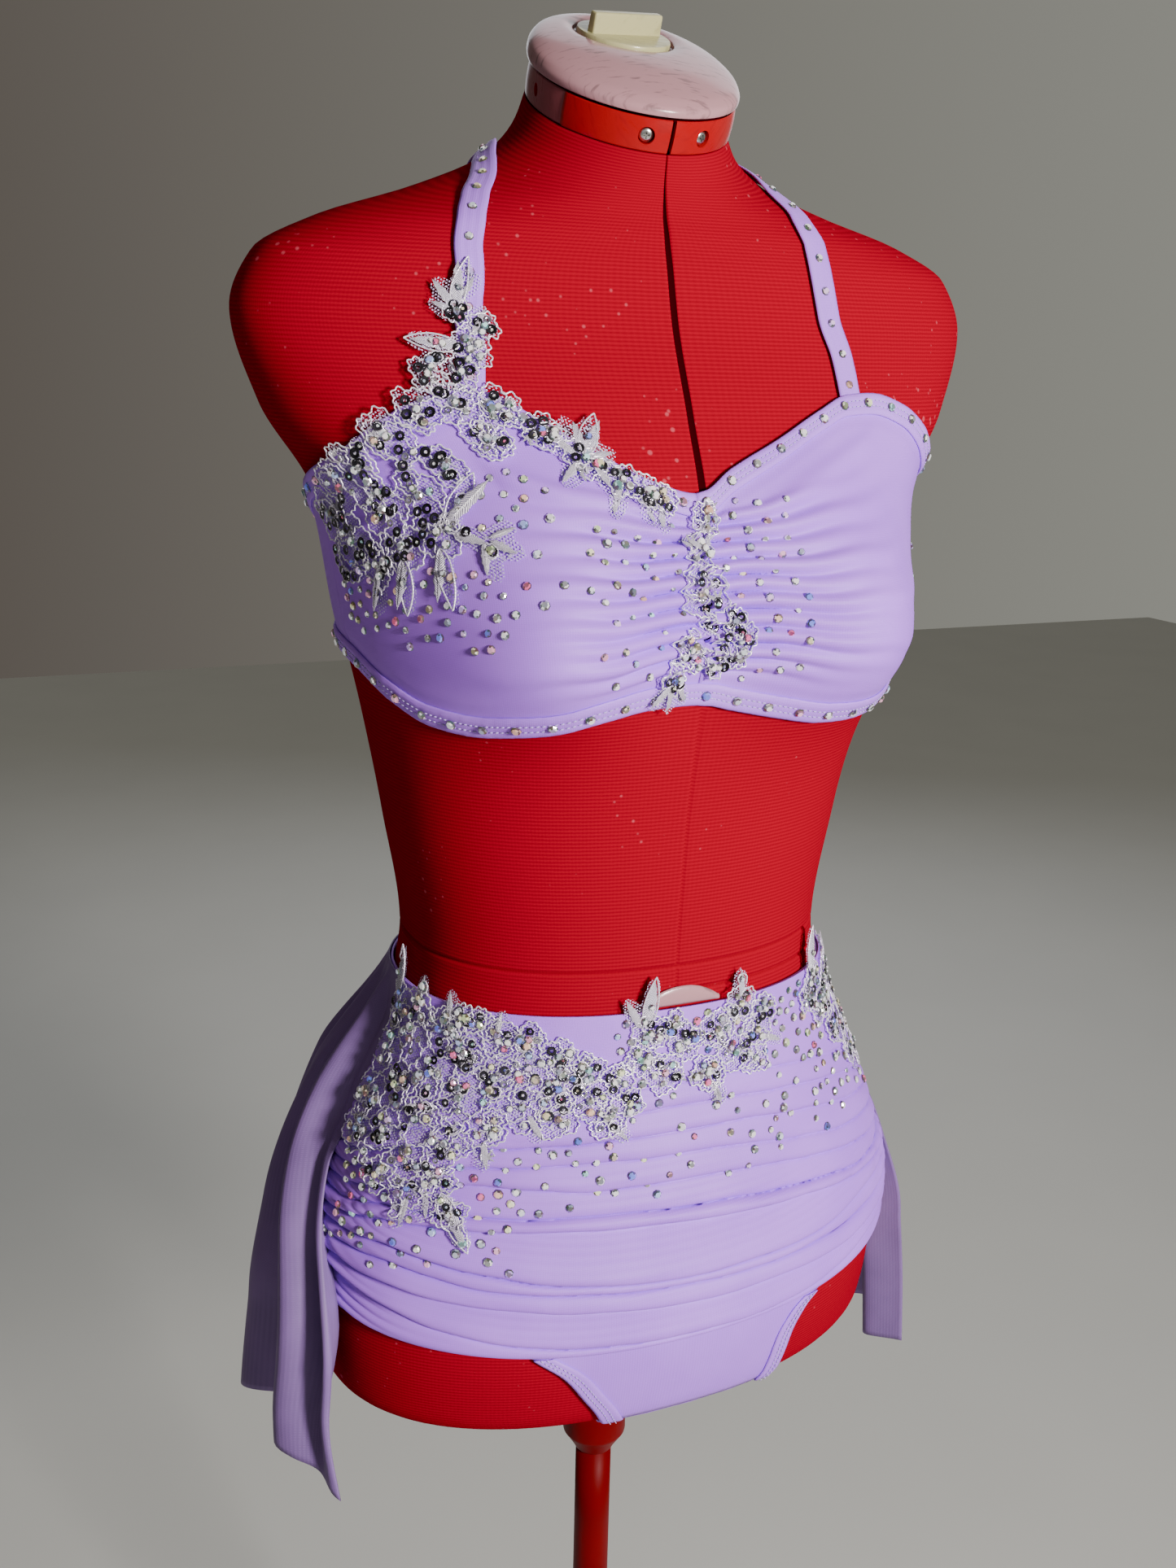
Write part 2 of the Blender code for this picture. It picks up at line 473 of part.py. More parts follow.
def ribbon(name, path, width, inside, count):
    """A strap laid along a path over the form."""
    path = np.asarray(path, float)
    share = np.linspace(0, 1, len(path))
    table = np.column_stack([share, path])
    walk = bare(*np.moveaxis(steady(table, np.linspace(0, 1, 400)), -1, 0))
    length = np.concatenate([[0], np.cumsum(np.linalg.norm(np.diff(walk, axis=0), axis=1))])
    even = np.interp(np.linspace(0, length[-1], count), length, np.linspace(0, 1, 400))
    turn, level = np.moveaxis(steady(table, even), -1, 0)
    run = np.gradient(bare(turn, level), axis=0)
    side = np.cross(normal(turn, level), run)
    side /= np.linalg.norm(side, axis=1, keepdims=True)
    columns = [slide(turn, level, side * width * k) for k in (-0.5, 0.0, 0.5)]
    turn, level = (np.array([column[n] for column in columns]) for n in (0, 1))
    panel(name, turn, level, inside)


ribbon("strap_right", STRAP_RIGHT, STRAP, FIRST + 0.0002, 31)
ribbon("strap_left", STRAP_LEFT, STRAP, FIRST + 0.0002, 31)

# The briefs.
BRIEF_COLUMNS = np.array([-86.85, -80, -70, -60, -50, -40, -30, -24.5, -20, -15, -12.5, -11, 0, 10, 21.2, 22.2, 23.2, 26.5,
                          30, 40, 50, 60, 70, 80, 86.85])
shares = np.array([0, 0.05, 0.11, 0.19, 0.35, 0.53, 0.709, 0.868, 1])[:, None]
low = value(FRONT_LEG, BRIEF_COLUMNS)
panel("brief_front", np.tile(BRIEF_COLUMNS, (len(shares), 1)), low + (WAIST - low) * shares, FIRST, front)
turns = np.concatenate([[BRIEF_SIDE + 0.15], np.arange(90, 271, STEP), [360 - BRIEF_SIDE - 0.15]])
low = value(BACK_LEG, turns)
shares = np.array([0, 0.022, 0.05, 0.11, 0.20, 0.31, 0.42, 0.54, 0.67, 0.83, 1])[:, None]
panel("brief_back", np.tile(turns, (len(shares), 1)), low + (WAIST - low) * shares, FIRST)

GUSSET = (
    # row: level on the rim, or y under the form, x of its edge by the pole, x of its outer edge
    ("front", -0.0037, -0.040, 0.071), ("front", -0.008, -0.040, 0.071), ("front", -0.0118, -0.039, 0.071),
    ("under", -0.060, -0.030, 0.073), ("under", -0.046, -0.004, 0.074), ("under", -0.022, 0.0245, 0.076),
    ("under", 0.022, 0.0245, 0.076), ("under", 0.046, -0.006, 0.074), ("under", 0.062, -0.038, 0.072),
    ("back", -0.0118, -0.048, 0.070), ("back", -0.008, -0.050, 0.070), ("back", -0.0037, -0.050, 0.070),
)


def gusset_points(lift):
    grid = []
    for place, at, start, end in GUSSET:
        x = np.linspace(start, end, 5)
        if place == "under":
            grid.append(np.stack([x, np.full(5, at), np.full(5, RIM_Z + SECTIONS[0][0] - lift)], -1))
            continue
        half = steady(SECTIONS, at)[0]
        turn = np.degrees(np.arcsin((np.abs(x) / half) ** (SQUARE / 2))) * np.sign(x)
        turn = turn if place == "front" else 180 - turn
        grid.append(skin(turn, np.full(5, at), np.full(5, lift)))
    return np.array(grid)


shell("gusset", gusset_points(FIRST), gusset_points(FIRST + CLOTH), cloth("gusset"))

legs = (
    # name, side of the brief, level and turn of the leg line
    ("leg_binding_right", 1, ((-0.0026, -11.2), (0.008, -12.7), (0.021, -15.2), (0.039, -19.2), (0.0525, -24.9))),
    ("leg_binding_left", -1, ((-0.0026, 21.4), (0.012, 22.2), (0.030, 23.1), (0.046, 26.5), (0.0515, 29.6))),
)
for name, way, line in legs:
    level = np.linspace(line[0][0], line[-1][0], 8)[:, None]
    turn = value(line, level) + way * np.array([[0.0, 1.9, 3.8]])
    panel(name, turn, np.broadcast_to(level, turn.shape), SECOND, front)


# The ruched panel over the front of the briefs.
def crease_level(start, rise, turn):
    return start + rise * (np.abs(turn) / 80) ** 1.6


CREASE_RISE = [(start, rise) for start, rise, _ in CREASES]


def ruching(turn, level):
    """How far the ruched panel stands out: folds between creases that fan out to the side seams."""
    turn, level = np.broadcast_arrays(np.asarray(turn, float), np.asarray(level, float))
    starts = np.array([row[0] for row in CREASES])
    peaks = np.concatenate([[0], np.repeat([row[2] for row in CREASES[:-1]], 2) * np.tile([1, 0], len(CREASES) - 1)])
    knots = np.concatenate([[starts[0]], np.column_stack([(starts[:-1] + starts[1:]) / 2, starts[1:]]).ravel()])
    rises = value(CREASE_RISE, knots)
    out = np.empty(turn.shape)
    for index in np.ndindex(turn.shape):
        lines = crease_level(knots, rises, turn[index])
        out[index] = np.interp(level[index], lines, peaks)
    return FOLD_RISE * out * ease((level - 0.050) / 0.004)


columns = np.concatenate([[-86.8], np.arange(-80, 81, STEP), [86.8]])
starts = np.array([row[0] for row in CREASES])
knots = np.concatenate([[starts[0]], np.column_stack([(starts[:-1] + starts[1:]) / 2, starts[1:]]).ravel(),
                        [0.197, 0.214, 0.232, WAIST + 0.0005]])
rises = np.where(knots < 0.18, value(CREASE_RISE, knots), 0)
level = np.array([crease_level(a, b, columns) for a, b in zip(knots, rises)])
turn = np.tile(columns, (len(knots), 1))
panel("ruched_panel", turn, level, SECOND + 0.0002 + ruching(turn, level), front)


# The half skirt, gathered into the waist from side seam to side seam round the back.
def skirt_points(share, level):
    turn = -BRIEF_SIDE - 0.1 - (360 - 2 * BRIEF_SIDE - 0.2) * share
    loose = ease((0.149 - level) / 0.09)
    turn = turn + loose * (PUFF_TURN * (1 - ease(share / 0.12)) - 8 * ease((share - 0.88) / 0.12))
    base, out = bare(turn, np.maximum(level, 0.035)), normal(turn, np.maximum(level, 0.035))
    out[..., 2] = 0
    out /= np.linalg.norm(out, axis=-1, keepdims=True)
    edge = SECOND + 0.0004 + 0.0076 * ease((0.166 - level) / 0.024)
    free = ease(np.minimum(share, 1 - share) / 0.075)
    crest = value(SKIRT_STAND, level)
    depth = 0.0035 + 0.0095 * ease((0.235 - level) / 0.25)
    depth = np.minimum(depth * ease((0.2485 - level) / 0.03), 0.6 * crest)
    wave = 0.5 - 0.5 * np.cos(2 * np.pi * (share - 0.03) * FOLDS)
    flare = 0.012 * ease((share - 0.80) / 0.15) * ease((0.10 - level) / 0.12)  # the wearer's left end swings out
    stand = edge + np.maximum(crest - edge, 0) * free - depth * wave * free + flare
    point = base + out * stand[..., None]
    point[..., 2] = RIM_Z + level
    return point


share = np.linspace(0, 1, 4 * FOLDS + 1)
drop = np.array([0, 0.03, 0.09, 0.20, 0.33, 0.50, 0.74, 1])[:, None]
level = 0.2485 + (value(SKIRT_HEM, share) - 0.2485) * drop
inner = skirt_points(np.tile(share, (len(drop), 1)), level)
facing = np.cross(np.gradient(inner, axis=1), np.gradient(inner, axis=0))
facing /= np.linalg.norm(facing, axis=-1, keepdims=True)
shell("back_skirt", inner, inner + facing * CLOTH, cloth("back_skirt", LILAC_DEEP))


# The lace. A field over the surface is above nought inside a petal or a leaf, and its outline is followed cell by cell.
def lace_field(u, v, motifs, scale):
    total, blend = np.zeros(u.shape), 0.0014
    for turn, level, radius, petals in motifs["flowers"]:
        x, y = u - turn * scale, v - level
        lobes = 0.92 + 0.10 * np.cos(petals * np.arctan2(y, x) + turn)
        total += np.exp((radius * 0.001 * lobes - np.hypot(x, y)) / blend)
    for turn, level, heading, length, half in motifs["leaves"]:
        way = math.radians(heading)
        x, y = u - turn * scale, v - level
        along = (x * math.cos(way) + y * math.sin(way)) / (length * 0.001)
        across = np.abs(y * math.cos(way) - x * math.sin(way))
        width = half * 0.001 * np.sqrt(np.clip(4 * along * (1 - along), 0, 1)) + 0.0003
        over = np.maximum(np.maximum(-along, along - 1), 0) * length * 0.001
        total += np.exp((width - across - over) / blend)
    return blend * np.log(total + 1e-30)


def lace_cells(field):
    """Polygons of the cells that the field covers, as corners (row, column) or crossings (row, column, way)."""
    rows, cols = field.shape
    cells = {}
    for i in range(rows - 1):
        for j in range(cols - 1):
            loop = ((i, j), (i, j + 1), (i + 1, j + 1), (i + 1, j))
            polygon = []
            for here, there in zip(loop, loop[1:] + loop[:1]):
                if field[here] > 0:
                    polygon.append(here)
                if (field[here] > 0) != (field[there] > 0):
                    polygon.append((min(here, there), max(here, there)))
            if len(polygon) > 2:
                cells[i, j] = polygon
    return cells


def largest(cells, field):
    """The cells of the largest piece, joined across borders that the field covers."""
    left, best = set(cells), set()
    while left:
        piece, todo = set(), [left.pop()]
        while todo:
            i, j = todo.pop()
            piece.add((i, j))
            for (a, b), ends in (((i - 1, j), ((i, j), (i, j + 1))), ((i + 1, j), ((i + 1, j), (i + 1, j + 1))),
                                 ((i, j - 1), ((i, j), (i + 1, j))), ((i, j + 1), ((i, j + 1), (i + 1, j + 1)))):
                if (a, b) in left and (field[ends[0]] > 0 or field[ends[1]] > 0):
                    left.discard((a, b))
                    todo.append((a, b))
        best = max(best, piece, key=len)
    return best


def lace(name, motifs, cell, scale, lift):
    margin = 0.004
    spots = [(t * scale, z, r * 0.001) for t, z, r, _ in motifs["flowers"]]
    for t, z, heading, length, half in motifs["leaves"]:
        way = math.radians(heading)
        spots.append((t * scale + 0.001 * length * math.cos(way), z + 0.001 * length * math.sin(way), half * 0.001))
    us = np.arange(min(s[0] - s[2] for s in spots) - margin, max(s[0] + s[2] for s in spots) + margin + cell, cell)
    vs = np.arange(min(s[1] - s[2] for s in spots) - margin, max(s[1] + s[2] for s in spots) + margin + cell, cell)
    u, v = np.meshgrid(us, vs)
    field = lace_field(u, v, motifs, scale)
    field = np.where(np.abs(u / scale) > BRIEF_SIDE - 0.9, -1.0, field)
    cells = lace_cells(field)
    kept = largest(cells, field)
    mesh, corners, edges = bmesh.new(), {}, {}

    def place(key):
        if key not in corners:
            if isinstance(key[0], tuple):
                here, there = key
                share = min(max(field[here] / (field[here] - field[there]), 0.18), 0.82)
                at = [us[here[1]] + share * (us[there[1]] - us[here[1]]), vs[here[0]] + share * (vs[there[0]] - vs[here[0]])]
            else:
                at = [us[key[1]], vs[key[0]]]
            turn, level = np.array(at[0] / scale), np.array(at[1])
            out = lift(turn, level)
            corners[key] = [mesh.verts.new(skin(turn, level, out + more)) for more in (0.0, LACE)]
        return corners[key]

    for key in sorted(kept):
        polygon = cells[key]
        for side in (0, 1):
            loop = [place(k)[side] for k in polygon]
            mesh.faces.new(loop if side else loop[::-1])
        for a, b in zip(polygon, polygon[1:] + polygon[:1]):
            edges[frozenset((a, b))] = None if frozenset((a, b)) in edges else (a, b)
    for ends in edges.values():
        if ends:
            (a, b), (c, d) = place(ends[0]), place(ends[1])
            mesh.faces.new((a, c, d, b))
    solid(name, mesh, paint(name, LACE_SILVER, 0.4, metal=0.2))


def over_top(turn, level):
    """Clear of the cups, and of the binding and band along their edges."""
    low, high = value(UNDER_EDGE, turn), value(TOP_EDGE, turn)
    edge = np.maximum(ease((level - (high - BINDING - 0.010)) / 0.008), ease((low + BAND + 0.010 - level) / 0.008))
    return FIRST + CLOTH + bridge(turn, level) + 0.0016 + 0.0011 * edge


def over_centre(turn, level):
    return over_top(turn, level) + 0.0007


def over_strap(turn, level):
    return SECOND + CLOTH + 0.0005 - 0.0008 * ease((level - 0.580) / 0.008)


def over_panel(turn, level):
    return SECOND + CLOTH + 0.0009 + ruching(turn, np.minimum(level, WAIST)) + 0.0013 * ease((0.19 - level) / 0.03)


LACE_ON = {"lace_cup": (0.0023, over_top), "lace_strap": (0.0024, over_strap), "lace_centre": (0.0021, over_centre),
           "lace_waist_right": (0.0025, over_panel), "lace_waist_front": (0.0020, over_panel),
           "lace_waist_left": (0.0025, over_panel)}
for name, motifs in LACES.items():
    lace(name, motifs, LACE_CELL[name], *LACE_ON[name])

print("pieces:", len([o for o in bpy.data.objects if not o.hide_render]))
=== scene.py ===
import math

import bmesh
import bpy
import numpy as np
from mathutils import Matrix, Vector


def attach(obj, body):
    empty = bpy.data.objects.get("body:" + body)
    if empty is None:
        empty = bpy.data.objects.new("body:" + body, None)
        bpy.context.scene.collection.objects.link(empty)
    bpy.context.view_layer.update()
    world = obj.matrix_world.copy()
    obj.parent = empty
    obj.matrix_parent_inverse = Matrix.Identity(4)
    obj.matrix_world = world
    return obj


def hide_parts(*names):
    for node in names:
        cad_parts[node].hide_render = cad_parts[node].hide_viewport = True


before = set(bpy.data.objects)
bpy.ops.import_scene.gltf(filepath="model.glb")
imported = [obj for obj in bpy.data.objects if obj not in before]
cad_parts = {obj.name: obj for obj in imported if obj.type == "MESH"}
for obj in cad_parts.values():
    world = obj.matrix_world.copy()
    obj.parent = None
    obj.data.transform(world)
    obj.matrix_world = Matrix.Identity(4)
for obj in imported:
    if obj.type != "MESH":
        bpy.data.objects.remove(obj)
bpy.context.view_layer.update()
wearer = "costume_and_form"  # the body that everything but the neck dial rides on
print("frame loaded,", len(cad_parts), "nodes")

# The form's surface. A turn is in degrees round the form: 0 at centre front, positive to the wearer's left
# and 180 at centre back. A level is a height in metres above the form's bottom rim.
body = {
    "rimHeight": 0.760,
    "square": 2.25,  # corner roundness of the sections, 2 is an ellipse
    "bust": {"side": 0.0806, "level": 0.455, "rise": 0.040, "across": 0.058, "below": 0.048, "above": 0.062},
    "sections": (
        # level, half width, front depth, back depth, centre y, tilt in degrees
        (-0.012, 0.1500, 0.0850, 0.0880, 0.000, 0.0),
        (-0.006, 0.1700, 0.1020, 0.1050, 0.000, 0.0),
        (0.008, 0.1800, 0.1100, 0.1140, 0.000, 0.0),
        (0.050, 0.1830, 0.1170, 0.1290, 0.000, 0.0),
        (0.100, 0.1780, 0.1170, 0.1340, 0.000, 0.0),
        (0.180, 0.1520, 0.1060, 0.1180, 0.000, 0.0),
        (0.2025, 0.1424, 0.1024, 0.1098, 0.000, 0.0),
        (0.225, 0.1332, 0.0991, 0.1020, 0.000, 0.0),
        (0.2475, 0.1278, 0.0977, 0.0966, 0.000, 0.0),
        (0.270, 0.1250, 0.0970, 0.0935, 0.000, 0.0),
        (0.340, 0.1350, 0.1010, 0.0935, 0.000, 0.0),
        (0.400, 0.1460, 0.1080, 0.0950, 0.000, 0.0),
        (0.455, 0.1580, 0.1120, 0.0986, 0.000, 0.0),
        (0.520, 0.1700, 0.1040, 0.1010, 0.000, 0.0),
        (0.565, 0.1970, 0.0865, 0.0997, 0.000, 1.0),
        (0.610, 0.2100, 0.0660, 0.0880, 0.000, 2.5),
        (0.638, 0.1980, 0.0580, 0.0760, 0.000, 4.0),
        (0.655, 0.1650, 0.0540, 0.0720, 0.000, 7.0),
        (0.670, 0.1150, 0.0520, 0.0660, 0.001, 11.0),
        (0.684, 0.0780, 0.0530, 0.0620, 0.002, 16.0),
        (0.700, 0.0600, 0.0560, 0.0600, 0.003, 22.0),
        (0.714, 0.0535, 0.0590, 0.0595, 0.003, 26.0),
    ),
}
# How far out the inside of the panels lies, how far out what lies on them, and the cloth's thickness.
firstLayer, secondLayer, clothWall = 0.0012, 0.0028, 0.0012
thinWall = 0.0009  # of folded edges, the ruched panel and the skirt


def ease(x):
    x = np.clip(x, 0.0, 1.0)
    return x * x * (3 - 2 * x)


# Smooth rows between the rows of a table, with no overshoot. Its first column is looked up.
def steady(table, x):
    rows = np.asarray(table, float)
    xs, ys = rows[:, 0], rows[:, 1:]
    x = np.clip(np.asarray(x, float), xs[0], xs[-1])
    step = np.diff(xs)[:, None]
    rise = np.diff(ys, axis=0) / step
    slope = np.vstack([rise[:1], np.zeros_like(rise[1:]), rise[-1:]])
    near, far = 2 * step[1:] + step[:-1], step[1:] + 2 * step[:-1]
    same = rise[1:] * rise[:-1] > 0
    mean = near / np.where(same, rise[:-1], 1) + far / np.where(same, rise[1:], 1)
    slope[1:-1] = np.where(same, 1.0, 0.0) * (near + far) / mean
    i = np.clip(np.searchsorted(xs, x, side="right") - 1, 0, len(xs) - 2)
    h = (xs[i + 1] - xs[i])[..., None]
    t = ((x - xs[i]) / h[..., 0])[..., None]
    start = (1 + 2 * t) * (1 - t) ** 2 * ys[i] + t * (1 - t) ** 2 * h * slope[i]
    return start + t * t * (3 - 2 * t) * ys[i + 1] + t * t * (t - 1) * h * slope[i + 1]


def value(table, x):
    return steady(table, x)[..., 0]


def bare(turn, level):
    turn, level = np.broadcast_arrays(np.asarray(turn, float), np.asarray(level, float))
    half, front, back, middle, tilt = np.moveaxis(steady(body["sections"], level), -1, 0)
    power = 2 / (body["square"] - (body["square"] - 2) * ease((level - 0.66) / 0.05))
    s, c = np.sin(np.radians(turn)), np.cos(np.radians(turn))
    x = half * np.sign(s) * np.abs(s) ** power
    y = -np.where(c >= 0, front, back) * np.sign(c) * np.abs(c) ** power
    bust = body["bust"]
    spread = np.where(level < bust["level"], bust["below"], bust["above"])
    mound = np.exp(-(((np.sqrt(x * x + 0.008**2) - bust["side"]) / bust["across"]) ** 2)
                   - ((level - bust["level"]) / spread) ** 2) * np.clip(3 * c, 0, 1)
    y = y - bust["rise"] * mound
    x = x + np.sign(x) * 0.010 * mound
    lean = np.radians(tilt)
    z = body["rimHeight"] + np.clip(level, body["sections"][0][0], 1) + y * np.sin(lean)
    return np.stack([x, middle + y * np.cos(lean), z], -1)


def unit(vectors):
    return vectors / np.linalg.norm(vectors, axis=-1, keepdims=True)


def normal(turn, level):
    along = bare(np.add(turn, 0.6), level) - bare(np.add(turn, -0.6), level)
    up = bare(turn, np.add(level, 0.002)) - bare(turn, np.add(level, -0.002))
    return unit(np.cross(along, up))


def above(turn, level, lift):
    return bare(turn, level) + normal(turn, level) * np.asarray(lift)[..., None]


# Unit vectors on the surface, to the wearer's left and upwards, and its normal.
def axesAt(turn, level):
    out = normal(turn, level)
    left = unit(bare(turn + 0.3, level) - bare(turn - 0.3, level))
    return left, np.cross(out, left), out


# How far along a line of points each of them lies.
def lengths(points):
    return np.concatenate([[0], np.cumsum(np.linalg.norm(np.diff(points, axis=0), axis=1))])


# Turn and level of the surface point nearest to a start moved by a vector.
def slide(turn, level, move):
    goal = bare(turn, level) + move
    for _ in range(6):
        here = bare(turn, level)
        a = (bare(turn + 0.2, level) - bare(turn - 0.2, level)) / 0.4
        b = (bare(turn, level + 0.001) - bare(turn, level - 0.001)) / 0.002
        aa, bb, ab = (a * a).sum(-1), (b * b).sum(-1), (a * b).sum(-1)
        ga, gb = ((goal - here) * a).sum(-1), ((goal - here) * b).sum(-1)
        det = aa * bb - ab * ab
        turn = turn + (ga * bb - gb * ab) / det
        level = level + (gb * aa - ga * ab) / det
    return turn, level


# Smooth repeatable unevenness between -1 and 1.
def uneven(x, seed):
    x = np.asarray(x, float)
    return (np.sin(x * 1.31 + seed * 2.3) + np.sin(x * 2.17 + seed * 5.1) + np.sin(x * 0.73 + seed * 3.7)) / 3


# Materials. Colours are sRGB hex values, and one function turns them to linear.
def colour(text):
    parts = [int(text[i:i + 2], 16) / 255 for i in (0, 2, 4)]
    return [p / 12.92 if p <= 0.04045 else ((p + 0.055) / 1.055) ** 2.4 for p in parts] + [1.0]


def newMaterial(name, base, roughness, **sockets):
    made = bpy.data.materials.new(name)
    made.use_nodes = True
    tree = made.node_tree
    shader = tree.nodes["Principled BSDF"].inputs
    shader["Base Color"].default_value = colour(base)
    shader["Roughness"].default_value = roughness
    for socket, setting in sockets.items():
        shader[socket.replace("_", " ")].default_value = setting
    made.diffuse_color = colour(base)
    return made, tree, shader, addNode(tree, "TexCoord").outputs["Object"]


# Adds a node: settings are its properties, and inputs give each socket a value or a link.
def addNode(tree, kind, inputs=(), **settings):
    node = tree.nodes.new("ShaderNode" + kind)
    for name, setting in settings.items():
        setattr(node, name, setting)
    for key, setting in dict(inputs).items():
        if isinstance(setting, bpy.types.NodeSocket):
            tree.links.new(setting, node.inputs[key])
        else:
            node.inputs[key].default_value = setting
    return node


# Colours a shader from one tone to another by a factor, and bumps it where a height is given. A tone is a
# hex value or a link.
def dress(tree, shader, factor, low, high, height=None, strength=0.0, deep=0.0):
    low, high = (colour(tone) if isinstance(tone, str) else tone for tone in (low, high))
    mixed = addNode(tree, "Mix", {"Factor": factor, "A": low, "B": high}, data_type="RGBA").outputs["Result"]
    tree.links.new(mixed, shader["Base Color"])
    if height is not None:
        bump = addNode(tree, "Bump", {"Strength": strength, "Distance": deep, "Height": height})
        tree.links.new(bump.outputs["Normal"], shader["Normal"])
    return mixed


def waves(pitch):
    return 2 * math.pi / 20 / pitch  # a wave texture's scale for ridges this many metres apart


# Dyed nylon and elastane jersey, knitted fine and finished soft: matt with a faint silky sheen, fine wales up
# the cloth. The real wales are 0.4 mm apart, and are drawn 1.1 mm apart so that they show.
def nylonJersey(name, base, shade):
    made, tree, shader, place = newMaterial(name, base, 0.55, Sheen_Weight=0.03, Sheen_Roughness=0.35,
                                            Specular_IOR_Level=0.35)
    cloth = addNode(tree, "UVMap", uv_map="cloth").outputs["UV"]
    wale = addNode(tree, "TexWave", {"Vector": cloth, "Scale": waves(0.0011), "Distortion": 0.4,
                                     "Detail": 1.0, "Detail Scale": 2.0}, bands_direction="X").outputs["Fac"]
    course = addNode(tree, "TexWave", {"Vector": cloth, "Scale": waves(0.0009)}, bands_direction="Y")
    loops = addNode(tree, "Math", {0: wale, 1: course.outputs["Fac"]}, operation="MULTIPLY").outputs[0]
    patch = addNode(tree, "TexNoise", {"Vector": place, "Scale": 22.0, "Detail": 3.0}).outputs["Fac"]
    tint = addNode(tree, "MapRange", {"Value": patch, "From Min": 0.35, "From Max": 0.65}).outputs[0]
    mixed = addNode(tree, "Mix", {"Factor": tint, "A": colour(base), "B": colour(shade)}, data_type="RGBA")
    dress(tree, shader, loops, mixed.outputs["Result"], base, loops, 0.22, 0.0003)
    return made


# Foam-backed polyester jersey glued to the form's shells: matt, with fine ribs that run round the form, drawn
# every 2.1 mm for the real 1.6 mm, painted a little lighter on their tops and darker between them as painted
# highlight and shade, and pinkish specks of lint and powder.
def foamJersey(name, base, shade, lint):
    made, tree, shader, place = newMaterial(name, base, 0.85, Sheen_Weight=0.03, Sheen_Roughness=0.5,
                                            Specular_IOR_Level=0.0, Sheen_Tint=colour("ff3a50"))
    cloth = addNode(tree, "UVMap", uv_map="cloth").outputs["UV"]
    rib = addNode(tree, "TexWave", {"Vector": cloth, "Scale": waves(0.0021), "Distortion": 0.6, "Detail": 1.0,
                                    "Detail Scale": 1.5}, bands_direction="Y").outputs["Fac"]
    loop = addNode(tree, "TexWave", {"Vector": cloth, "Scale": waves(0.0021)}, bands_direction="X")
    knit = addNode(tree, "Mix", {"Factor": 0.15, "A": rib, "B": loop.outputs["Fac"]},
                   data_type="FLOAT").outputs["Result"]
    # Rib tops take the base colour and the hollows the darker shade colour: painted highlight and painted
    # shade.
    mixed = addNode(tree, "Mix", {"Factor": knit, "A": colour(shade), "B": colour(base)}, data_type="RGBA")
    fluff = addNode(tree, "TexVoronoi", {"Vector": place, "Scale": 150.0}).outputs["Distance"]
    where = addNode(tree, "TexNoise", {"Vector": place, "Scale": 14.0, "Detail": 2.0}).outputs["Fac"]
    size = addNode(tree, "MapRange", {"Value": where, "From Min": 0.45, "From Max": 0.75, "To Max": 0.30})
    speck = addNode(tree, "Math", {0: size.outputs[0], 1: fluff}, operation="SUBTRACT").outputs[0]
    soft = addNode(tree, "MapRange", {"Value": speck, "From Max": 0.12, "To Max": 0.36}).outputs[0]
    dress(tree, shader, soft, mixed.outputs["Result"], lint, knit, 0.30, 0.0004)
    return made


# Injection-moulded ABS with a polished mould face: glossy, with hairline scuffs and dull handling marks.
def mouldedAbs(name, base, shade, roughness):
    made, tree, shader, place = newMaterial(name, base, roughness, Coat_Weight=0.15, Coat_Roughness=0.08,
                                            Specular_IOR_Level=0.25)
    stretch = addNode(tree, "Mapping", {"Vector": place, "Scale": (1.0, 6.0, 1.0),
                                        "Rotation": (0.4, 0.3, 0.7)})
    scuff = addNode(tree, "TexNoise", {"Vector": stretch.outputs[0], "Scale": 90.0, "Detail": 4.0})
    scuff = scuff.outputs["Fac"]
    marks = addNode(tree, "MapRange", {"Value": scuff, "From Min": 0.56, "From Max": 0.68, "To Max": 0.50})
    dress(tree, shader, marks.outputs[0], base, shade)
    dull = addNode(tree, "MapRange", {"Value": scuff, "From Min": 0.3, "From Max": 0.8,
                                      "To Min": roughness * 0.8, "To Max": roughness * 1.6}).outputs[0]
    tree.links.new(dull, shader["Roughness"])
    return made


# Steel tube and arms in dark red powder coat: a low orange-peel gloss.
def powderCoat(name, base, shade):
    made, tree, shader, place = newMaterial(name, base, 0.42, Specular_IOR_Level=0.06)
    peel = addNode(tree, "TexNoise", {"Vector": place, "Scale": 700.0, "Detail": 1.0}).outputs["Fac"]
    patch = addNode(tree, "TexNoise", {"Vector": place, "Scale": 30.0, "Detail": 3.0}).outputs["Fac"]
    dress(tree, shader, patch, base, shade, peel, 0.15, 0.0002)
    return made


# Chromed steel screw heads: bright, slightly brushed.
def chromedSteel(name, base, roughness):
    made, tree, shader, place = newMaterial(name, base, roughness, Metallic=1.0)
    grain = addNode(tree, "TexNoise", {"Vector": place, "Scale": 900.0, "Detail": 2.0}).outputs["Fac"]
    worn = addNode(tree, "MapRange", {"Value": grain, "To Min": roughness * 0.7, "To Max": roughness * 1.5})
    tree.links.new(worn.outputs[0], shader["Roughness"])
    return made


# Viscose and metallic braid, 1 mm thick, couched down along the lace: bright, with a fine twist that is drawn
# at 1.2 mm where the real one is 0.5 mm.
def metallicBraid(name, base, shade):
    made, tree, shader, place = newMaterial(name, base, 0.28, Metallic=0.35, Specular_IOR_Level=0.8)
    lean = addNode(tree, "Mapping", {"Vector": place, "Rotation": (0.5, 0.9, 0.6)})
    twist = addNode(tree, "TexWave", {"Vector": lean.outputs[0], "Scale": waves(0.0012), "Distortion": 1.5,
                                      "Detail": 1.0}, bands_direction="DIAGONAL").outputs["Fac"]
    dress(tree, shader, twist, shade, base, twist, 0.25, 0.0003)
    return made
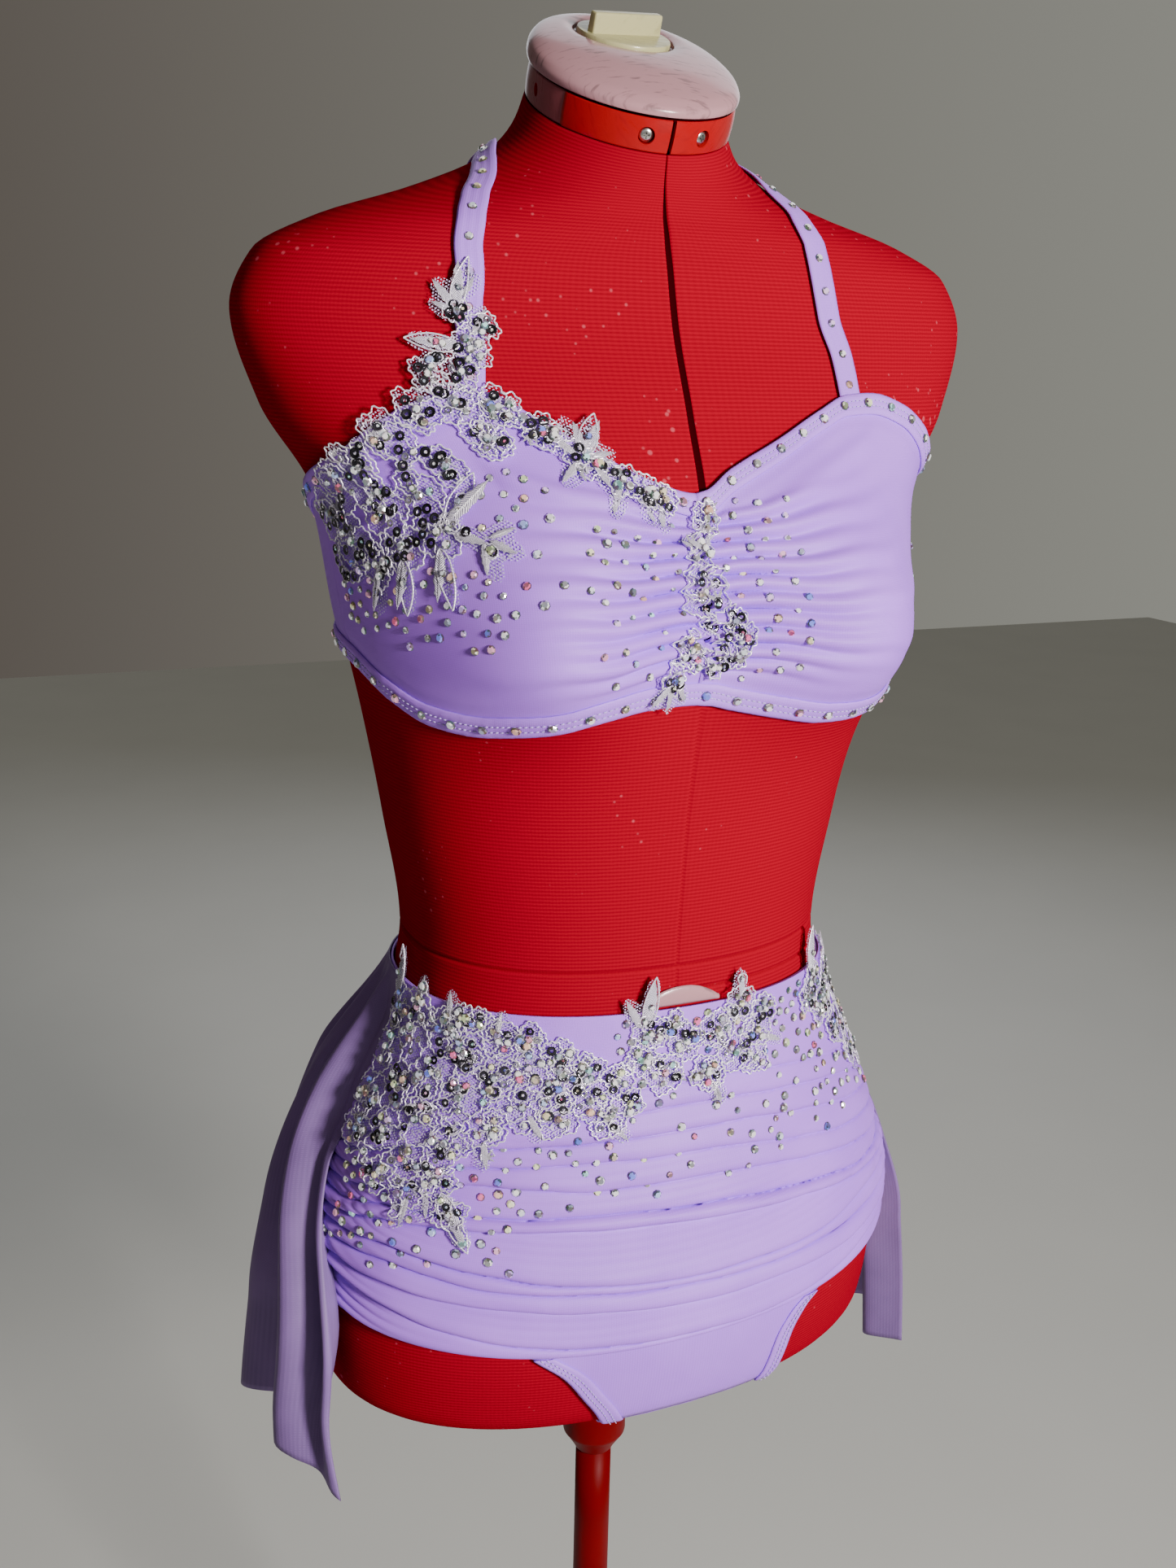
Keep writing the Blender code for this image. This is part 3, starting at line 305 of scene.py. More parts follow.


# Satin stitch in trilobal polyester thread: dense threads across the leaf, 0.9 mm here for the real 0.3 mm,
# each with a painted highlight on its top, so the leaf shines along its threads, and darker between them,
# partly the cloth showing through and partly painted shade.
def satinStitch(name, base, shade):
    made, tree, shader, _ = newMaterial(name, base, 0.30, Specular_IOR_Level=0.9)
    cloth = addNode(tree, "UVMap", uv_map="cloth").outputs["UV"]
    rows = addNode(tree, "TexWave", {"Vector": cloth, "Scale": waves(0.0009), "Distortion": 0.8,
                                     "Detail": 1.0}, bands_direction="X").outputs["Fac"]
    dress(tree, shader, rows, shade, base, rows, 0.8, 0.0004)
    return made


# Nylon hexagon tulle with machine embroidery: a net of fine threads, 1.4 mm here for the real 1 mm, open at
# the border and filled with grey and silver threads inside the motifs, darkening at random to the deep tone,
# which is painted shade between the threads.
def embroideredTulle(name, net, fill, deep):
    made, tree, shader, _ = newMaterial(name, net, 0.45, Specular_IOR_Level=0.6)
    cloth = addNode(tree, "UVMap", uv_map="cloth").outputs["UV"]
    pieces = addNode(tree, "SeparateXYZ", {"Vector": cloth}).outputs
    step = 2 * math.pi / 0.0014
    ways = []
    for angle in (0, 60, 120):
        way = math.radians(angle)
        across = addNode(tree, "Math", {0: pieces["X"], 1: step * math.cos(way)}, operation="MULTIPLY")
        along = addNode(tree, "Math", {0: pieces["Y"], 1: step * math.sin(way), 2: across.outputs[0]},
                        operation="MULTIPLY_ADD")
        ways.append(addNode(tree, "Math", {0: along.outputs[0]}, operation="COSINE").outputs[0])
    pair = addNode(tree, "Math", {0: ways[0], 1: ways[2]}, operation="ADD").outputs[0]
    cells = addNode(tree, "Math", {0: pair, 1: ways[1]}, operation="SUBTRACT").outputs[0]
    wall = addNode(tree, "Math", {0: cells, 1: -1.22}, operation="LESS_THAN").outputs[0]
    inside = addNode(tree, "Attribute", attribute_name="motif").outputs["Fac"]
    held = addNode(tree, "Math", {0: inside, 1: -0.0011}, operation="GREATER_THAN").outputs[0]
    threads = addNode(tree, "TexNoise", {"Vector": cloth, "Scale": 780.0, "Detail": 3.0, "Distortion": 1.2})
    threads = threads.outputs["Fac"]
    deepen = addNode(tree, "MapRange", {"Value": inside, "From Min": 0.0003, "From Max": 0.0030,
                                        "To Max": 0.05})
    packed = addNode(tree, "Math", {0: threads, 1: deepen.outputs[0]}, operation="ADD").outputs[0]
    filled = addNode(tree, "Math", {0: packed, 1: 0.60}, operation="GREATER_THAN").outputs[0]
    cover = addNode(tree, "Math", {0: wall, 1: filled}, operation="MAXIMUM").outputs[0]
    alpha = addNode(tree, "Math", {0: cover, 1: held}, operation="MULTIPLY").outputs[0]
    tree.links.new(alpha, shader["Alpha"])
    tone = addNode(tree, "MapRange", {"Value": threads, "From Min": 0.35, "From Max": 0.7}).outputs[0]
    # The deep tone is painted shade between the embroidery threads.
    woven = addNode(tree, "Mix", {"Factor": tone, "A": colour(deep), "B": colour(fill)}, data_type="RGBA")
    dress(tree, shader, filled, net, woven.outputs["Result"], threads, 0.8, 0.0005)
    return made


# Metallised PET film punched into cupped sequins: dark and mirror-like, a bright rim where the cup turns up.
def metallisedFilm(name, base, shade, roughness):
    made, tree, shader, place = newMaterial(name, base, roughness, Metallic=0.9, Coat_Weight=0.6,
                                            Coat_Roughness=0.05)
    cast = addNode(tree, "TexNoise", {"Vector": place, "Scale": 160.0, "Detail": 1.0}).outputs["Fac"]
    tone = addNode(tree, "MapRange", {"Value": cast, "From Min": 0.4, "From Max": 0.6}).outputs[0]
    dress(tree, shader, tone, base, shade)
    return made


# Cut glass with a foil back and an aurora coating: hard sparkle, every facet in its own tint and its own
# painted brightness. The tints are an attribute of the piece, and a little emission makes the glass glow:
# painted light for what the foil sends back.
def auroraGlass(name):
    made, tree, shader, place = newMaterial(name, "e8ecf4", 0.12, Metallic=0.40, Coat_Weight=1.0,
                                            Coat_Roughness=0.03, Emission_Strength=0.35)
    facets = addNode(tree, "Attribute", attribute_name="facets").outputs["Color"]
    cast = addNode(tree, "TexNoise", {"Vector": place, "Scale": 420.0, "Detail": 0.0}).outputs["Color"]
    tree.links.new(dress(tree, shader, 0.12, facets, cast), shader["Emission Color"])
    return made


# Spun polyester sewing thread: matt, a little lighter than the cloth.
def sewingThread(name, base, shade):
    made, tree, shader, place = newMaterial(name, base, 0.7, Sheen_Weight=0.2)
    ply = addNode(tree, "TexNoise", {"Vector": place, "Scale": 900.0, "Detail": 1.0}).outputs["Fac"]
    dress(tree, shader, ply, shade, base)
    return made


# Matt and faintly mottled: the painted studio floor, and the painted shade down in the form's slots and in
# the gap under the neck cap.
def paintedFloor(name, base, shade, shine=0.5):
    made, tree, shader, place = newMaterial(name, base, 0.8, Specular_IOR_Level=shine)
    patch = addNode(tree, "TexNoise", {"Vector": place, "Scale": 3.0, "Detail": 4.0}).outputs["Fac"]
    dress(tree, shader, patch, base, shade)
    return made


lilacJersey = nylonJersey("lilacJersey", "b074f2", "a66aea")
lilacTrim = nylonJersey("lilacTrimJersey", "b47af4", "a96fec")
# The skirt's jersey is darker and greyer than the top's, partly for its sheerer cloth and partly as painted
# shade, for it hangs in the shadow of the form.
lilacMesh = nylonJersey("lilacSkirtJersey", "7e629e", "6e568c")
redJersey = foamJersey("redFoamJersey", "9a0020", "820018", "dc6878")
redAbs = mouldedAbs("redAbs", "9c000a", "820008", 0.30)
pinkAbs = mouldedAbs("palePinkAbs", "aa8088", "463a3c", 0.18)
creamAbs = mouldedAbs("creamAbs", "b0ac80", "8c8860", 0.3)
duskyAbs = mouldedAbs("duskyRedAbs", "8e4a52", "7a3a42", 0.3)
redPowder = powderCoat("redPowderCoat", "700008", "5a0004")
chrome = chromedSteel("chromedSteel", "d8d6d4", 0.22)
# Dark red painted shade for the deep slots and the gap under the neck cap.
slotPaintedShade = paintedFloor("slotPaintedShadeRed", "3c0008", "260004", 0.0)
braid = metallicBraid("silverBraid", "fbf8ff", "d6ceec")
satin = satinStitch("silverSatinStitch", "f8f4ff", "857aa6")
tulle = embroideredTulle("embroideredTulle", "d0c0f0", "c8bce0", "4c4468")
gunmetal = metallisedFilm("gunmetalSequinFilm", "55525e", "2a2830", 0.16)
silverFilm = metallisedFilm("silverSequinFilm", "e8e6f0", "b0acc4", 0.14)
glass = auroraGlass("auroraGlass")
thread = sewingThread("lilacThread", "cdbcf0", "a890d8")
floorPaint = paintedFloor("paintedFloor", "cfd0cc", "c8c9c5")
print("materials made")


def newObject(name, data):
    made = bpy.data.objects.new(name, data)
    bpy.context.scene.collection.objects.link(made)
    return made


def newMesh(name, bm):
    mesh = bpy.data.meshes.new(name)
    bm.to_mesh(mesh)
    bm.free()
    return mesh


# The mesh that an object shows once its modifiers or its curve are worked out.
def bakedMesh(made):
    bpy.context.view_layer.update()
    return bpy.data.meshes.new_from_object(made.evaluated_get(bpy.context.evaluated_depsgraph_get()))


# A finished mesh becomes an object at the origin that rides on its body.
def finishPiece(name, bm, material, nodes=(), carrier=wearer, smooth=True):
    mesh = newMesh(name, bm)
    if smooth:
        mesh.shade_smooth()
    made = newObject(name, mesh)
    mesh.materials.append(material)
    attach(made, carrier)
    if nodes:
        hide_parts(*nodes)
    return made


# A grid laid over rows and columns of points. Its UV map is the flat cloth in metres.
def layGrid(points, flat):
    rows, columns = points.shape[:2]
    bm = bmesh.new()
    uvLayer = bm.loops.layers.uv.new("cloth")
    bmesh.ops.create_grid(bm, x_segments=columns - 1, y_segments=rows - 1, size=0.5)
    bm.verts.ensure_lookup_table()
    for vertex, point in zip(bm.verts, points.reshape(-1, 3)):
        vertex.co = point
    cut = flat.reshape(-1, 2)
    for face in bm.faces:
        for loop in face.loops:
            loop[uvLayer].uv = cut[loop.vert.index]
    return bm


# A cloth wall over grids of turns and levels, thick outwards from its inside.
def layCloth(name, turn, level, inside, material, nodes=(), wall=clothWall):
    turn, level, inside = np.broadcast_arrays(turn, level, inside)
    flat = np.stack([turn * 0.0026, level], -1)
    addWall(finishPiece(name, layGrid(above(turn, level, inside), flat), material, nodes), wall)


def addWall(made, wall, offset=1.0):
    solidify = made.modifiers.new("wall", "SOLIDIFY")
    solidify.thickness = wall
    solidify.offset = offset


# A turned or oval body: one ring of vertices is extruded through a row of places.
def drawRings(places, segments, closeStart=True, closeEnd=True):
    bm = bmesh.new()
    bmesh.ops.create_circle(bm, cap_ends=False, segments=segments, radius=1.0, matrix=places[0])
    first = list(bm.edges)
    edges, before = first, places[0]
    for place in places[1:]:
        made = bmesh.ops.extrude_edge_only(bm, edges=edges)["geom"]
        ring = [part for part in made if isinstance(part, bmesh.types.BMVert)]
        edges = [part for part in made if isinstance(part, bmesh.types.BMEdge)]
        bmesh.ops.transform(bm, matrix=place @ before.inverted(), verts=ring)
        before = place
    for close, loop in ((closeStart, first), (closeEnd, edges)):
        if close:
            bmesh.ops.edgeloop_fill(bm, edges=loop)
    bmesh.ops.recalc_face_normals(bm, faces=bm.faces)
    # Extruding leaves edges and faces in another order each run, so they are put in order of their vertices.
    bm.verts.index_update()
    count = len(bm.verts)
    for row in (bm.edges, bm.faces):
        row.sort(key=lambda part: min(v.index for v in part.verts) * count + max(v.index for v in part.verts))
    return bm


def ringPlace(half, deep, y, z, tilt=0.0):
    return (Matrix.Translation((0, y, z)) @ Matrix.Rotation(math.radians(tilt), 4, "X")
            @ Matrix.Diagonal((half, deep, 1, 1)))


def roundRings(rings):
    return [ringPlace(radius, radius, 0, z) for radius, z in rings]


# The form.
torso = {
    "node": "form_torso", "between": 1.5, "rows": 236,
    # Each slot: its turn, from level, to level.
    "slots": ((0.0, 0.02, 0.716), (180.0, 0.02, 0.716), (-92.0, 0.02, 0.53), (92.0, 0.02, 0.53)),
    "slotHalf": 0.0006, "slotDeep": 0.0034,
    "waistSeams": (0.2565, 0.2710), "seamHalf": 0.0016, "seamDeep": 0.0016,
}
turns = np.arange(-180, 180.01, torso["between"])
for at, _, _ in torso["slots"]:
    reach = np.array([-1.1, -0.75, -0.5, -0.28, 0.0, 0.28, 0.5, 0.75, 1.1])
    turns = np.concatenate([turns[np.abs((turns - at + 180) % 360 - 180) > 1.2], at + reach])
turns = np.unique(np.round(np.concatenate([turns[(turns > -180) & (turns < 180)], [-180.0, 180.0]]), 3))
rise = np.linspace(body["sections"][0][0], body["sections"][-1][0], torso["rows"])
seams = [at + np.linspace(-0.003, 0.003, 9) for at in torso["waistSeams"]]
clear = np.min([np.abs(rise - at) for at in torso["waistSeams"]], axis=0) > 0.0035
levels = np.unique(np.concatenate([rise[clear], *seams]))
turn, level = np.meshgrid(turns, levels)
dip = np.zeros(turn.shape)
slot = np.zeros(turn.shape)
for at, low, high in torso["slots"]:
    narrow = 0.24 + 0.76 * ease((level - 0.53) / 0.17)  # the slot opens towards the neck
    away = np.abs((turn - at + 180) % 360 - 180) * np.radians(1) * 0.115 / narrow
    reach = ease((level - low) / 0.004) * ease((high + 0.004 - level) / 0.004)
    slot = np.maximum(slot, ease(1.35 - away / torso["slotHalf"]) * reach)
for at, side in zip(torso["waistSeams"], (1, 0)):
    seam = torso["seamDeep"] * ease(1.2 - np.abs(level - at) / torso["seamHalf"])
    dip = np.maximum(dip, seam * (ease((turn + 2) / 3) if side else 1.0) * (np.abs(turn) < 178))
dip = np.maximum(dip, torso["slotDeep"] * slot * (0.35 + 0.65 * ease((level - 0.40) / 0.10)))
points = above(turn, level, -dip)
bm = layGrid(points, np.stack([turn * 0.0024, level], -1))
# Faces deep in the slots above the bust get the dark red painted shade material.
for face in bm.faces:
    worst = max(face.verts, key=lambda vertex: slot.flat[vertex.index]).index
    face.material_index = int(slot.flat[worst] > 0.75 and level.flat[worst] > 0.44)
bmesh.ops.remove_doubles(bm, verts=bm.verts, dist=0.00002)
rim = [edge for edge in bm.edges if edge.is_boundary]
bmesh.ops.holes_fill(bm, edges=rim, sides=0)
bmesh.ops.recalc_face_normals(bm, faces=bm.faces)
jerseyTorso = finishPiece("jerseyTorso", bm, redJersey, [torso["node"]])
jerseyTorso.data.materials.append(slotPaintedShade)
print("torso made,", len(jerseyTorso.data.polygons), "faces")

neck = {
    "tilt": 26.0, "y": 0.003, "level": 0.714,
    "cap": (
        # half width, half depth, y, level, tilt
        (0.0530, 0.0585, -0.0047, 0.7300, 26.0), (0.0546, 0.0601, -0.0047, 0.7303, 26.0),
        (0.0556, 0.0606, -0.0051, 0.7335, 26.0), (0.0546, 0.0586, -0.0042, 0.7380, 26.5),
        (0.0497, 0.0532, -0.0008, 0.7440, 27.0), (0.0408, 0.0433, 0.0040, 0.7495, 26.0),
        (0.0315, 0.0325, 0.0078, 0.7527, 25.0), (0.0272, 0.0272, 0.0092, 0.7520, 24.0),
        (0.0268, 0.0268, 0.0100, 0.7500, 24.0),
    ),
    "dialTilt": 24.0, "dialTurn": 13.5, "dialY": 0.0100, "dialLevel": 0.7500,
    # The screws, the keyhole and the darker section, as angles round the band, and how high they stand.
    "screws": (-14.0, 20.0), "screwHole": 0.0084, "screwHeight": 0.0082, "lockHole": -86.0,
    "lockHeight": 0.0090, "sideSection": (232.0, 298.6),
}
upward = Vector((0, -math.sin(math.radians(neck["tilt"])), math.cos(math.radians(neck["tilt"]))))
foot = Vector((0, neck["y"], body["rimHeight"] + neck["level"]))


# Points round the neck: an angle from centre front, positive to the wearer's left, a height up the neck, and
# how far out of the band's middle face.
def onBand(angle, height, out):
    a = np.radians(angle)
    swell = -0.0006 * ((height - 0.0085) / 0.0085) ** 2 + out
    across, deep = (0.0545 + swell) * np.sin(a), -(0.0604 + swell) * np.cos(a)
    lean = math.radians(neck["tilt"])
    y = foot.y + upward.y * height + deep * math.cos(lean)
    z = foot.z + upward.z * height + deep * math.sin(lean)
    return np.stack(np.broadcast_arrays(across, y, z), -1)


# A place on the band that looks straight out of it.
def bandSeat(angle, height, out):
    way = Vector(onBand(angle, height, 0.001)) - Vector(onBand(angle, height, 0.0))
    turned = way.normalized().to_track_quat("Z", "Y").to_matrix().to_4x4()
    return Matrix.Translation(Vector(onBand(angle, height, out))) @ turned


# A closed cylinder or box to cut with, standing on the band.
def bandCutter(shape, angle, height, size, deep):
    bm = bmesh.new()
    if shape == "round":
        bmesh.ops.create_cone(bm, cap_ends=True, segments=32, radius1=0.5, radius2=0.5, depth=1.0)
    else:
        bmesh.ops.create_cube(bm, size=1.0)
    matrix = bandSeat(angle, height, 0.0) @ Matrix.Diagonal((*size, deep, 1))
    bmesh.ops.transform(bm, matrix=matrix, verts=bm.verts)
    return newObject("cutter", newMesh("cutter", bm))


# Cuts shapes out of a piece and keeps the result as its own mesh.
def cutOut(made, cutters):
    for cutter in cutters:
        cut = made.modifiers.new("cut", "BOOLEAN")
        cut.operation = "DIFFERENCE"
        cut.solver = "EXACT"
        cut.object = cutter
    mesh = bakedMesh(made)
    made.modifiers.clear()
    old = made.data
    made.data = mesh
    mesh.name = made.name
    bpy.data.meshes.remove(old)
    for cutter in cutters:
        bpy.data.objects.remove(cutter)
    mesh.set_sharp_from_angle(angle=math.radians(32))


angle = np.concatenate([np.linspace(1.1, 230, 110), np.linspace(231, 298, 50), np.linspace(299.2, 358.9, 44)])
height = np.array([0.0004, 0.0010, 0.0030, 0.0060, 0.0090, 0.0120, 0.0145, 0.0161, 0.0166])[:, None]
side = (angle > neck["sideSection"][0]) & (angle < neck["sideSection"][1])
rolled = (height > 0.0164) | (height < 0.0008)  # the band's edges are rounded in
points = onBand(angle, height + 0 * angle, -0.0007 * side - 0.0005 * rolled)
bm = layGrid(points, np.stack(np.broadcast_arrays(angle * 0.001, height), -1))
for face in bm.faces:
    face.material_index = int(all(side[vertex.index % len(angle)] for vertex in face.verts))
neckBand = finishPiece("neckBand", bm, redAbs, ["neck_band"])
neckBand.data.materials.append(duskyAbs)
addWall(neckBand, 0.0026, -1.0)
holes = [bandCutter("round", a, neck["screwHeight"], (neck["screwHole"], neck["screwHole"]), 0.012)
         for a in neck["screws"]]
cutOut(neckBand, holes + [bandCutter("round", neck["lockHole"], neck["lockHeight"], (0.0042, 0.0066), 0.012)])
places = []
for half, deep, height in ((0.0500, 0.0555, 0.0004), (0.0508, 0.0566, 0.0006), (0.0508, 0.0566, 0.0168),
                           (0.0500, 0.0555, 0.0170)):
    at = foot + upward * height
    places.append(ringPlace(half, deep, at.y, at.z, neck["tilt"]))
# The core showing in the thin gap between band and cap is painted shade, in the dark slot material.
finishPiece("neckCore", drawRings(places, 96), slotPaintedShade)
for number, a in enumerate(neck["screws"]):
    seat = bandSeat(a, neck["screwHeight"], -0.0034)
    rings = roundRings(((0.0036, 0.0), (0.0039, 0.0004), (0.0038, 0.0012), (0.0032, 0.0020), (0.0022, 0.0025),
                        (0.0009, 0.0027)))
    bm = drawRings([seat @ ring for ring in rings], 40)
    head = finishPiece("neckScrew" + "AB"[number], bm, chrome)
    cross = ((0.0038, 0.0008), (0.0008, 0.0038))
    cutOut(head, [bandCutter("box", a, neck["screwHeight"], size, 0.0050) for size in cross])
rows = np.asarray(neck["cap"])
share = np.linspace(0, 1, len(rows))
fine = steady(np.column_stack([share, rows]), np.linspace(0, 1, 41))
places = [ringPlace(half, deep, y, body["rimHeight"] + level, tilt) for half, deep, y, level, tilt in fine]
finishPiece("neckCap", drawRings(places, 128), pinkAbs, ["neck_cap"])

dialAxis = Vector((0, -math.sin(math.radians(neck["dialTilt"])), math.cos(math.radians(neck["dialTilt"]))))
dialFoot = Vector((0, neck["dialY"], body["rimHeight"] + neck["dialLevel"])) + dialAxis * 0.0004
places = []
for radius, height in ((0.0243, 0.0), (0.0249, 0.0006), (0.0250, 0.0026), (0.0246, 0.0033), (0.0240, 0.0034)):
    at = dialFoot + dialAxis * height
    places.append(ringPlace(radius, radius, at.y, at.z, neck["dialTilt"]))
bm = drawRings(places, 96)
grip = bmesh.ops.create_cube(bm, size=1.0)["verts"]
bmesh.ops.scale(bm, vec=(0.0436, 0.0062, 0.0120), verts=grip)
topVerts = [vertex for vertex in grip if vertex.co.z > 0]
bmesh.ops.scale(bm, vec=(0.985, 0.90, 1.0), verts=topVerts)
sides = {edge for vertex in grip for edge in vertex.link_edges}
rounded = bmesh.ops.bevel(bm, geom=list(sides) + grip, offset=0.0011, affect="EDGES", segments=4, profile=0.5,
                          material=-1)
turnOver = (Matrix.Translation(dialFoot + dialAxis * 0.0073)
            @ Matrix.Rotation(math.radians(neck["dialTilt"]), 4, "X")
            @ Matrix.Rotation(math.radians(neck["dialTurn"]), 4, "Z"))
gripVerts = {v for face in rounded["faces"] for v in face.verts} | {v for v in bm.verts if v.co.z < 0.5}
bmesh.ops.transform(bm, matrix=turnOver, verts=list(gripVerts))
neckDial = finishPiece("neckDial", bm, creamAbs, ["neck_dial"], carrier="dial")
neckDial.data.set_sharp_from_angle(angle=math.radians(35))

wheel = {"node": "waist_dial", "from": -7.5, "to": 9.5, "level": 0.2498, "high": 0.0100}
turn = np.tile(np.linspace(wheel["from"], wheel["to"], 41), (9, 1))
arc = np.maximum(wheel["high"] * (1 - ((turn - 1) / 8.7) ** 2), 0.0012)
across = np.linspace(0, 1, 9)[:, None]
lift = 0.0006 + 0.0010 * np.sin(np.pi * across) + 0 * turn
layCloth("waistWheel", turn, wheel["level"] + arc * across, lift, pinkAbs, [wheel["node"]])

stand = {
    "pole": 0.0118, "collar": 0.0208, "collarHigh": 0.0970, "gap": 0.0004,
    "arm": 0.270, "armEnd": 0.014, "armRoot": 0.019, "armHigh": 0.014,
}
pole, collar = stand["pole"], stand["collar"]
under = body["rimHeight"] + body["sections"][0][0] - stand["gap"]
collarFoot = under - stand["collarHigh"]
rings = ((pole + 0.0008, 0.0), (pole + 0.0012, 0.0006), (pole + 0.0022, 0.0028), (collar - 0.0012, 0.0120),
         (collar - 0.0003, 0.0132), (collar, 0.0146), (collar, stand["collarHigh"]))
bm = drawRings(roundRings([(radius, collarFoot + z) for radius, z in rings]), 64)
# The collar takes the pole's darker powder coat in place of red plastic, partly as painted shade, for it sits
# in the shadow of the form.
finishPiece("poleCollar", bm, redPowder, ["pole_collar"])
bm = drawRings(roundRings([(pole, z) for z in np.linspace(0.0405, collarFoot - stand["gap"], 12)]), 64)
finishPiece("enamelPole", bm, redPowder, ["pole"])
rings = ((0.0334, 0.0144), (0.0340, 0.0150), (0.034, 0.0205), (0.0328, 0.0225), (0.0262, 0.0330),
         (0.0248, 0.0346), (0.0184, 0.0394), (0.0176, 0.0400))
finishPiece("standHub", drawRings(roundRings(rings), 64), redPowder, ["stand_hub"])
bm = bmesh.new()
bmesh.ops.create_cube(bm, size=1.0)
bmesh.ops.scale(bm, vec=(2 * stand["armRoot"], 2 * stand["armRoot"], stand["armHigh"]), verts=bm.verts)
bmesh.ops.translate(bm, vec=(0, 0, stand["armHigh"] / 2), verts=bm.verts)
outer = [face for face in bm.faces if abs(face.normal.z) < 0.5]
for face in outer:
    way = face.normal.copy()
    made = bmesh.ops.extrude_discrete_faces(bm, faces=[face])["faces"][0]
    bmesh.ops.translate(bm, vec=way * (stand["arm"] - stand["armRoot"]), verts=made.verts)
    narrow = stand["armEnd"] / stand["armRoot"]
    flatten = (narrow if abs(way.x) < 0.5 else 1, narrow if abs(way.y) < 0.5 else 1, 1)
    bmesh.ops.scale(bm, vec=flatten, verts=made.verts)
bmesh.ops.remove_doubles(bm, verts=bm.verts, dist=0.00001)
topEdges = [edge for edge in bm.edges
            if min(v.co.z for v in edge.verts) > 0.005 and edge.calc_face_angle(0) > 0.6]
bmesh.ops.bevel(bm, geom=topEdges, offset=0.003, affect="EDGES", segments=4, profile=0.5, material=-1)
bmesh.ops.recalc_face_normals(bm, faces=bm.faces)
standBase = finishPiece("standBase", bm, redPowder, ["stand_base"])
standBase.data.set_sharp_from_angle(angle=math.radians(40))
print("neck and stand made")

# The top.
top = {
    "centre": -1.2, "side": 85.0, "band": 0.0115, "binding": 0.0105,
    "upperEdge": (
        # turn, level
        (-180, 0.474), (-150, 0.480), (-130, 0.492), (-110, 0.510), (-95, 0.524), (-76.5, 0.536),
        (-69, 0.540), (-58.7, 0.548), (-49, 0.5585), (-41.4, 0.567), (-33, 0.5735), (-28, 0.572),
        (-22.6, 0.562), (-17.8, 0.551), (-11.8, 0.538), (-6.2, 0.529), (-1.2, 0.5245), (3.6, 0.536),
        (11.8, 0.551), (19.6, 0.5655), (25.5, 0.5735), (31, 0.5745), (40.3, 0.569), (49.5, 0.559),
        (58.7, 0.549), (69, 0.541), (76.5, 0.536), (95, 0.524), (110, 0.510), (130, 0.492), (150, 0.480),
        (180, 0.474),
    ),
    "lowerEdge": (
        (-180, 0.434), (-140, 0.436), (-110, 0.438), (-84, 0.433), (-69, 0.421), (-57, 0.412), (-46, 0.410),
        (-37, 0.412), (-28, 0.415), (-19, 0.421), (-9.4, 0.4248), (-1.8, 0.424), (3.6, 0.420),
        (12.3, 0.415), (21.8, 0.411), (35, 0.410), (45, 0.411), (57, 0.414), (69, 0.421), (84, 0.433),
        (110, 0.438), (140, 0.436), (180, 0.434),
    ),
    # Each fold: its level at the seam and 20 degrees away, its depth, and how many degrees it reaches.
    "foldsRight": (
        (0.5130, 0.5250, 0.0016, 24), (0.5050, 0.5135, 0.0022, 26), (0.4972, 0.5030, 0.0024, 30),
        (0.4898, 0.4938, 0.0020, 22), (0.4822, 0.4846, 0.0027, 32), (0.4748, 0.4758, 0.0022, 24),
        (0.4676, 0.4668, 0.0027, 30), (0.4602, 0.4578, 0.0022, 24), (0.4530, 0.4485, 0.0026, 28),
        (0.4462, 0.4400, 0.0018, 20),
    ),
    "foldsLeft": (
        (0.5120, 0.5260, 0.0020, -20), (0.5040, 0.5140, 0.0024, -26), (0.4962, 0.5030, 0.0020, -20),
        (0.4888, 0.4934, 0.0027, -30), (0.4812, 0.4838, 0.0021, -22), (0.4738, 0.4746, 0.0027, -30),
        (0.4664, 0.4652, 0.0021, -22), (0.4590, 0.4558, 0.0026, -28), (0.4518, 0.4466, 0.0022, -22),
        (0.4452, 0.4390, 0.0016, -16),
    ),
    "drapes": (
        ((-36, -32, -18, -4), (0.5440, 0.5343, 0.5190, 0.5090), 0.0013),
        ((4, 14, 24, 34), (0.5080, 0.5260, 0.5420, 0.5560), 0.0010),
    ),
}


def bridge(turn, level):
    return 0.005 * np.exp(-(((turn - top["centre"]) / 9) ** 2) - ((level - 0.475) / 0.028) ** 2)


# Folds that fan out from the gathered centre front seam, and a soft drape from each strap down to the seam.
def gathers(turn, level):
    low, high = value(top["lowerEdge"], turn), value(top["upperEdge"], turn)
    inside = (ease((level - low - top["band"] - 0.001) / 0.006)
              * ease((high - top["binding"] - 0.001 - level) / 0.006))
    away = np.abs(turn - top["centre"])
    out = np.zeros(np.shape(turn))
    for start, end, deep, reach in top["foldsRight"] + top["foldsLeft"]:
        side = turn < top["centre"] if reach > 0 else turn > top["centre"]
        middle = start + (end - start) * away / 20 + 0.0008 * np.sin(away / 3.1 + start * 900)
        wide = 0.0017 + 0.00010 * away
        ridge, groove = (np.exp(-(((level - middle) / wide + move) ** 2)) for move in (0.0, 1.5))
        out = out + side * deep * (ridge - 0.55 * groove) * np.exp(-((away / abs(reach)) ** 1.5))
    for turns, levels, deep in top["drapes"]:
        middle = np.interp(turn, turns, levels)
        share = ease((turn - turns[0]) / 6) * ease((turns[-1] - turn) / 6)
        out = out + deep * share * np.exp(-(((level - middle) / 0.006) ** 2))
    return (1.8 * out + 0.0006) * inside


